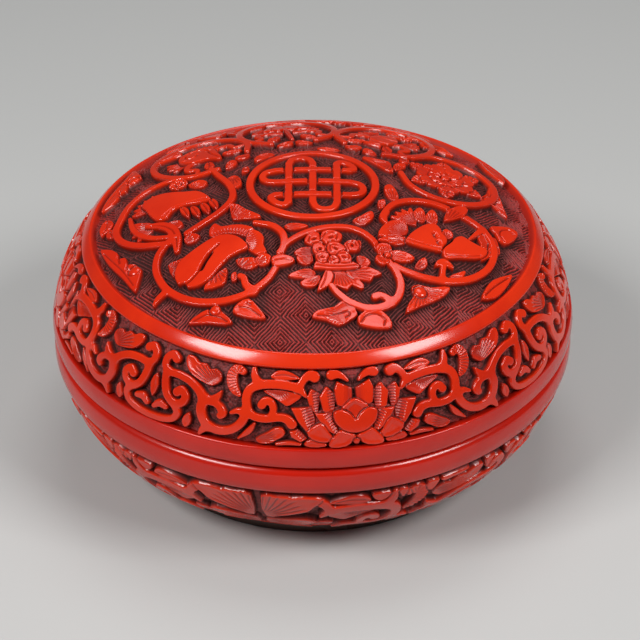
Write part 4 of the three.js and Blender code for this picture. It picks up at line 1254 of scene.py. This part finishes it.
def carveLeftSprigs(relief):
    relief.petal([(-26.4, -40.4), (-23.5, -38.4), (-20.5, -38), (-18.5, -39.8), (-16.8, -42),
        (-18.5, -42.5), (-22, -41.5), (-25, -41)], 0.97)
    relief.cuts(
        ([(-25.2, -40.4), (-22.4, -39.4), (-19.8, -40.4), (-18, -41.8)], 0.5, 0.5),
        ([(-21.6, -39.2), (-20.6, -38.6)], 0.9, 0.5),
    )
    relief.ball((-20.6, -38.5), 1.2, 1)
    relief.petal([(-15.9, -37.7), (-13.5, -36.8), (-11.5, -39), (-9.8, -41.7), (-11, -42.2), (-14.5, -41.2),
        (-17, -39.7)], 0.97)
    relief.cuts(
        ([(-15.6, -38.6), (-13.6, -39.2), (-11, -41.4)], 0.5, 0.5),
        ([(-13.8, -38), (-13.2, -38.4)], 1, 0.5),
    )


def carveFrontSprig(relief):
    relief.petal([(-0.2, -41.9), (1, -40.5), (4.5, -39.5), (6, -38.1), (8.2, -38.5), (9.2, -40),
        (9.5, -41.2), (8, -42.5), (5.5, -44), (3, -43), (0.5, -42.5)], 0.97, (8.6, -41.2), 22, 130, 0.3)
    relief.cut([(1, -41.8), (3.6, -41.6), (6, -40.8), (7.4, -40.4), (7.8, -41.2), (7, -41.8)], 0.55, 0.5)
    relief.petal([(9.4, -41.7), (11, -40), (12, -38.3), (14, -39.3), (16.2, -41), (16.8, -43.2),
        (14.5, -44), (12, -44), (9.8, -43.5)], 0.97)
    relief.cut([(10.2, -42.8), (11.4, -41.2), (13.4, -40.6), (15.2, -41.6), (15, -43)], 0.55, 0.5)


def carveRightSprigs(relief):
    relief.petal([(19.6, -39.4), (20.4, -36.6), (21.6, -34.4), (21, -32.6), (22.6, -31.4), (25.2, -31.6),
        (28.2, -30.6), (29.6, -30.8), (28.6, -32.8), (26.2, -35), (23.2, -37), (21.4, -38.4)], 0.97,
        (23, -33.2), 9, 120)
    relief.ball((23, -33.4), 1.4)
    relief.petal([(36.3, -31.4), (37.3, -28), (39, -25), (42, -22.3), (43.7, -21.3), (43.2, -23.5),
        (41.7, -26.7), (39.5, -29.9)], 0.96)
    relief.cut([(37.2, -30), (39.4, -26.8), (42.6, -22.8)], 0.5, 0.5)


def carveChain(relief):  # long leaf at the left edge
    relief.plate([(-47.2, -11.6), (-44.8, -12.6), (-43, -14.8), (-42.6, -16.8), (-41, -17.4),
        (-40.4, -19.6), (-38.6, -20.6), (-37.2, -22.6), (-37.4, -25.4), (-38.2, -28.6), (-39.4, -27.4),
        (-41.4, -23.8), (-43.6, -20.2), (-45.6, -16.4)], 0.97)
    relief.cuts(
        ([(-46.2, -13.4), (-43.8, -17.6), (-41.4, -21.6), (-38.8, -26.8)], 0.45, 0.35),
        ([(-42.8, -16.6), (-42.4, -18.6)], 0.9, 0.5),
        ([(-40.4, -19.8), (-40.6, -21.4)], 0.8, 0.5),
    )
    relief.ball((-38.9, -22.4), 1.3)


def carveRimLeaves(relief):  # close to the ring, where the sprigs leave room
    relief.leaf((46.4, -3.2), (47.8, 2.8), 3.4, 0.3, 0.95, 2)
    relief.leaf((46.0, 1.6), (44.4, 5.6), 2.6, -0.2, 0.9, 2)


def carveTop():
    reach = topField["radius"] + 1
    relief = Relief((-reach, -reach), (reach, reach), topField["pitch"], topField["stemWidth"])
    for carveSprig, turns, mirror in (
        (carveLeftSprigs, (0, 252), False),
        (carveFrontSprig, (0, 62, 128, 196), False),
        (carveRightSprigs, (0, 62), False),
        (carveRimLeaves, (63, 98, 184), False),
        (carveChain, (0,), False),
        (carveChain, (-172, 106), True),
        (carveSmallLeaves, (0, 180), False),
    ):
        for turn in turns:
            relief.put(turn=turn, mirror=mirror)
            carveSprig(relief)
    for centre, turn, emblem in (((30.4, 9.4), -108, carvePeony), ((16.8, 27), -32, carveVase),
                                 ((-6.2, 31.4), 11, carveParasol), ((-25.8, 19.4), 53, carveShell)):
        relief.put(centre, turn)
        carveRing(relief)
        emblem(relief)
    relief.put()
    for carveLoop in (carveFanLoop, carveTwinLoop, carveGourdLoop, carveFlowerLoop):
        carveLoop(relief)
    ring = [polar(topField["frameRadius"], 10 * i) for i in range(37)]
    relief.stem(ring, [topField["frameWidth"] / relief.wider])
    carveKnot(relief)
    ground, stainAndShade = diaperGround(*relief.grid((0, 0), relief.counts))
    return relief, relief.finished(ground, stainAndShade, topField["wells"])


def makeLidTop(relief, maps):
    n = 2 * (150 if coarse else 420)
    line = np.linspace(-1, 1, n + 1)
    a, b = np.meshgrid(line, line)
    wide = np.abs(a) > np.abs(b)  # the square grid is drawn out into a disc
    ratio = np.where(wide, b / np.where(wide, a, 1), a / np.where(b == 0, 1, b))
    angle = np.where(wide, ratio * np.pi / 4, np.pi / 2 - ratio * np.pi / 4)
    radius = topField["radius"] * np.where(wide, a, b)
    x, y = radius * np.cos(angle), radius * np.sin(angle)
    found = relief.sample(maps, x, y)
    dome, crown = shape["domeRadius"], shape["mouthHeight"] + domeCentre

    def onDome(x, y, inset):
        scale = (dome - inset) / dome
        return np.stack([x * scale, y * scale, crown + np.sqrt(dome**2 - x**2 - y**2) * scale], -1)

    outer = onDome(x, y, shape["carvingDepth"] - found["height"]).reshape(-1, 3)
    across, down = np.meshgrid(np.arange(n), np.arange(n))
    corner = (down * (n + 1) + across).ravel()
    top = np.stack([corner, corner + 1, corner + n + 2, corner + n + 1], -1)
    # edge of the square, taken round, then rings of the underside down to its middle
    index = np.arange((n + 1) ** 2).reshape(n + 1, n + 1)
    edge = np.concatenate([index[0, :-1], index[:-1, -1], index[-1, :0:-1], index[:0:-1, 0]])
    edgeX, edgeY = x.ravel()[edge], y.ravel()[edge]
    count, total = len(edge), len(outer)
    rings, points = [edge], [outer]
    for part in (1.0, 0.8, 0.6, 0.4, 0.2):
        points.append(onDome(edgeX * part, edgeY * part, shape["coatThickness"]))
        rings.append(np.arange(total, total + count))
        total += count
    points.append(onDome(np.zeros(1), np.zeros(1), shape["coatThickness"]))
    faces = [top]
    flat = np.stack([(a.ravel() + 1) / 2, (b.ravel() + 1) / 2], -1) * (0.99, 0.93) + (0.005, 0.065)
    charts = [flat[top.ravel()]]
    start, end = np.arange(count) / count, (np.arange(count) + 1) / count
    stripHeight = 0.009
    for i, (first, second) in enumerate(zip(rings, rings[1:])):
        faces.append(np.stack([first, second, np.roll(second, -1), np.roll(first, -1)], -1))
        low, high = 0 * start + stripHeight * i, 0 * start + stripHeight * (i + 1)
        charts.append(np.stack([start, low, start, high, end, high, end, low], -1).reshape(-1, 2))
    last = rings[-1]
    faces.append(np.stack([last, np.full(count, total), np.roll(last, -1)], -1))
    low, high = 0 * start + 0.046, 0 * start + 0.054
    charts.append(np.stack([start, low, (start + end) / 2, high, end, low], -1).reshape(-1, 2))
    points = np.vstack(points)
    under = np.zeros(len(points) - len(outer))
    shown = {label: np.concatenate([found[label].ravel(), under]) for label in ("level", "groove")}
    return makeMesh("lid_top_carving", points, faces, shown, np.vstack(charts))


baseBand = {"border": 2.5, "low": 42.3, "groove": 0.25, "swells": (0.0, 0.14), "sinks": 0.2}


def makeBaseSide(relief, maps):
    columns, fieldRows, borderRows = shellSteps["base"]
    perAngle = shape["baseSideRadius"]
    depth, coat = shape["carvingDepth"], shape["coatThickness"]
    high = math.asin((shape["baseRimHeight"] + shape["bondGap"]) / perAngle)
    low = math.acos((baseBand["low"] - baseSideCentre) / perAngle)
    border = low - baseBand["border"] / perAngle
    turn = 2 * np.pi * np.arange(columns) / columns
    s = np.concatenate([[0, shellSteps["crisp"]], np.linspace(0, 1, fieldRows - 1)[1:]])[:, None]
    fieldAngle = high + (border - high) * s + 0 * turn
    highest = scrollBand["high"] + baseBand["groove"]  # a cut groove sets the leaves off from the rim
    up = highest - (highest - scrollBand["low"]) * s
    fromAxis = np.broadcast_to(fromBlossom(turn, **blossoms["base"]), fieldAngle.shape)
    found = relief.sample(maps, fromAxis, up + 0 * turn)
    t = np.linspace(0, 1, borderRows)[:, None]
    sunk = np.maximum(t - 1 + baseBand["sinks"], 0) / baseBand["sinks"]
    swell = ease(*baseBand["swells"], t) * np.sqrt(np.clip(1 - sunk**2, 0, 1) * 0.75 + 0.25) + 0 * turn
    borderAngle = border + (low - border) * t + 0 * turn
    back = np.linspace(low, high, shellSteps["back"])[:, None] + 0 * turn
    angle = np.vstack([fieldAngle, borderAngle, back])
    inset = np.vstack([depth - found["height"], depth * (1 - swell), 0 * back + coat])
    shown = {"level": (found["level"], swell, 0 * back), "groove": (found["groove"], 0 * swell, 0 * back)}
    outerRows = len(fieldAngle) + len(borderAngle)
    return sideShell("base_side_carving", "base", angle, inset, turn, shown, outerRows)


lidSide = addPiece("lid_side_carving", makeLidSide(*carveBand(carveBlossom, 3)),
                   "lid", "lid_carved_coat", carvedRed)
lidTop = addPiece("lid_top_carving", makeLidTop(*carveTop()),
                  "lid", "lid_carved_coat", carvedRed)
print("lid carved:", len(lidSide.data.polygons) + len(lidTop.data.polygons), "faces")
baseSide = addPiece("base_side_carving", makeBaseSide(*carveBand(carveFanLeaves, 4)),
                    "base", "base_carved_coat", carvedRed)
print("base carved:", len(baseSide.data.polygons), "faces")


# Plain turned pieces; a section runs with its solid on the left hand side
def turnedMesh(name, section, steps=256, sway=None, maps=None):
    section = np.array(section, float)
    turn = 2 * np.pi * np.arange(steps) / steps
    radius, height = section[:, :1] + 0 * turn, section[:, 1:2] + 0 * turn
    if sway is not None:
        radius = sway(radius, turn)
    points = aroundAxis(radius, height, turn)
    if section[0, 0] > 0:
        quads = ringGrid(len(section), steps)[0]
        spread = {label: np.repeat(rule(*section.T), steps) for label, rule in (maps or {}).items()}
        return makeMesh(name, points.reshape(-1, 3), [quads[:, ::-1]], spread)
    # a section that starts and ends on the axis is closed by two fans
    inner = points[1:-1].reshape(-1, 3)
    ends = np.array([points[0, 0], points[-1, 0]])
    rows = len(section) - 2
    quads = ringGrid(rows, steps)[0][: (rows - 1) * steps]
    total = rows * steps
    first, last = np.arange(steps), np.arange(steps) + (rows - 1) * steps
    start = np.stack([np.full(steps, total), first, np.roll(first, -1)], -1)
    end = np.stack([last, np.full(steps, total + 1), np.roll(last, -1)], -1)
    return makeMesh(name, np.vstack([inner, ends]), [quads[:, ::-1], start[:, ::-1], end[:, ::-1]])


def softened(section, rounding, steps=8):  # a rounding at each corner of a section
    corners = []
    count = len(section)
    for i, (x, y, *own) in enumerate(section):
        size = own[0] if own else rounding
        here = np.array([x, y], float)
        before = np.array(section[i - 1][:2], float) - here
        after = np.array(section[(i + 1) % count][:2], float) - here
        if size == 0 or x == 0:
            corners.append(here)
            continue
        size = min(size, 0.49 * math.hypot(*before), 0.49 * math.hypot(*after))
        start = here + before / math.hypot(*before) * size
        end = here + after / math.hypot(*after) * size
        for t in np.linspace(0, 1, steps):
            corners.append((1 - t) ** 2 * start + 2 * t * (1 - t) * here + t * t * end)
    return corners


def arcAlong(centre, radius, high, low, steps=12):  # part of a side section, between two heights
    turns = np.linspace(math.asin(high / radius), math.asin(low / radius), steps)
    return [(centre + radius * math.cos(a), radius * math.sin(a), 0) for a in turns]


rims = {
    "bore": 53.05, "seat": 53.0, "cap": 1.2, "parting": 0.2,
    "lidTaper": 0.15, "lidEdge": 1.6, "lidBulge": 3.6, "lidBelly": 0.9,
    "baseTaper": 0.2, "baseEdge": 2.1, "baseBulge": 4.3, "baseBelly": 1.1,
    "arris": 0.3, "hidden": 0.2,  # roundings of the other corners
    "arcSteps": 6, "steps": 320,
    "sway": 0.12, "swayFrom": (55.0, 59.0),  # only the outside wanders
}


def handmade(radius, turn):  # the rim was rubbed down by hand
    outside = ease(*rims["swayFrom"], radius)
    wave = np.sin(2 * turn + 0.4) + 0.6 * np.sin(5 * turn + 1.9) + 0.4 * np.sin(9 * turn)
    return radius + rims["sway"] * 0.5 * outside * (wave - 1.6)


def lidRimSection():
    side, inner = shape["lidSideRadius"], shape["lidSideRadius"] - shape["coatThickness"]
    mouth, rise, bore = shape["mouthRadius"], shape["lidRimHeight"], rims["bore"]
    low, cap = rims["parting"], rims["parting"] + rims["cap"]
    up = math.asin(rise / side)
    return [
        (bore, low, rims["arris"]),
        (mouth - rims["lidTaper"], low, rims["lidEdge"]),
        (mouth, rims["lidBulge"], rims["lidBelly"]),
        (lidSideCentre + side * math.cos(up), side * math.sin(up), rims["arris"]),
        *arcAlong(lidSideCentre, inner, rise, cap, rims["arcSteps"]),
        (bore, cap, rims["hidden"]),
    ]


def baseRimSection():
    side, inner = shape["baseSideRadius"], shape["baseSideRadius"] - shape["coatThickness"]
    mouth, fall, seat, cap = shape["mouthRadius"], shape["baseRimHeight"], rims["seat"], rims["cap"]
    down = math.asin(fall / side)
    return [
        (seat, -cap, rims["hidden"]),
        *arcAlong(baseSideCentre, inner, -cap, -fall, rims["arcSteps"]),
        (baseSideCentre + side * math.cos(down), -side * math.sin(down), rims["baseBelly"]),
        (mouth, -rims["baseBulge"], rims["baseBelly"]),
        (mouth - rims["baseTaper"], 0, rims["baseEdge"]),
        (seat, 0, rims["arris"]),
    ]


def soiledAndShadedJoint(radius, height):  # grime and painted shade where lid and base meet, and on the ledge above the lid's rim
    mouth, rise = shape["mouthRadius"], shape["lidRimHeight"]
    joint = ease(mouth - 1.3, mouth - 2.2, radius) * ease(1.2, 0.6, np.abs(height))
    edge = lidSideCentre + math.sqrt(shape["lidSideRadius"] ** 2 - rise**2)
    ledge = ease(edge - 0.25, edge - 0.5, radius) * ease(rise - 0.4, rise - 0.1, height)
    return np.maximum(joint, ledge)


for name, section, body, node in (
    ("lid_rim_band", lidRimSection(), "lid", "lid_rim"),
    ("base_rim_band", baseRimSection(), "base", "base_rim"),
):
    mesh = turnedMesh(name, softened(section, 0), rims["steps"], handmade, {"soilAndShade": soiledAndShadedJoint})
    addPiece(name, mesh, body, node, plainRed)
print("rims turned")

# Black lacquer inside and under the box; heights count from the mouth plane
interior = {
    "bore": 53.05, "lining": 0.7, "lowest": 1.7, "ceiling": 6.2,  # the lid's rebate over the collar
    "lidFace": 7.1, "baseFace": 7.9,  # from the outside to the lining's face
    "floor": 21.5, "ledge": 8.0,
    "arris": 0.2, "edge": 0.35,
}
collar = {"outside": 52.7, "inside": 50.9, "rise": 5.5, "seat": -7.7, "lead": 0.6}
foot = {"outside": 42.0, "width": 3.5, "back": 2.8, "edge": 0.5, "under": 27.2, "coat": 0.8, "gap": 0.3}


def lidInside(inset, lowest, steps=24):  # from the crown down to a height on the side
    corner = cornerAngle(inset)
    side, dome = shape["lidSideRadius"] - inset, shape["domeRadius"] - inset
    reach = lidSideCentre + side * math.cos(corner)
    crown = [(r, domeCentre + math.sqrt(dome**2 - r**2), 0) for r in np.linspace(0, reach, steps)]
    return crown + arcAlong(lidSideCentre, side, side * math.sin(corner), lowest, steps)[1:]


def lidLiningSection():
    thick, bore, arris = interior["lining"], interior["bore"], interior["arris"]
    ceiling, lowest, face = interior["ceiling"], interior["lowest"], interior["lidFace"]
    return [
        *lidInside(face, ceiling), (bore, ceiling, arris), (bore, lowest, arris),
        (bore + thick, lowest, 0), (bore + thick, ceiling + thick, 0),
        *lidInside(face - thick, ceiling + thick)[::-1],
    ]


def baseLiningSection(steps=30):
    face = shape["baseSideRadius"] - interior["baseFace"]
    back = face + interior["lining"]
    floor, bottom, ledge = interior["floor"], interior["floor"] + interior["lining"], interior["ledge"]
    return [
        (0, -bottom),
        *arcAlong(baseSideCentre, back, -bottom, -ledge, steps),
        *arcAlong(baseSideCentre, face, -ledge, -floor, steps),
        (0, -floor),
    ]


def collarSection():
    lead = collar["lead"]
    return [(collar["inside"], collar["seat"], 0), (collar["outside"], collar["seat"], 0),
            (collar["outside"], collar["rise"], lead), (collar["inside"], collar["rise"], lead)]


def footSection():
    seat = shape["baseSideRadius"] - foot["back"]
    outer, inner = foot["outside"], foot["outside"] - foot["width"]
    section = [(radius, -shape["mouthHeight"], foot["edge"]) for radius in (inner, outer)]
    for radius in (outer, inner):
        section.append((radius, -seat * math.sin(math.acos((radius - baseSideCentre) / seat)), 0))
    return section


def undersideSection():
    edge = foot["outside"] - foot["width"] - foot["gap"]
    low = -foot["under"] - foot["coat"]
    return [(0, low), (edge, low, interior["arris"]), (edge, -foot["under"], 0), (0, -foot["under"])]


for name, section, body, node in (
    ("lid_black_lining", lidLiningSection(), "lid", "lid_lining"),
    ("base_black_lining", baseLiningSection(), "base", "base_lining"),
    ("base_black_collar", collarSection(), "base", "base_collar"),
    ("black_foot_ring", footSection(), "base", "foot_ring"),
    ("black_underside", undersideSection(), "base", "underside_coat"),
):
    mesh = turnedMesh(name, softened(section, interior["edge"]))
    addPiece(name, mesh, body, node, black)
print("inside and foot turned")

for node in ("lid_core", "base_core"):
    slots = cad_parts[node].data.materials
    slots.clear()
    slots.append(wood)
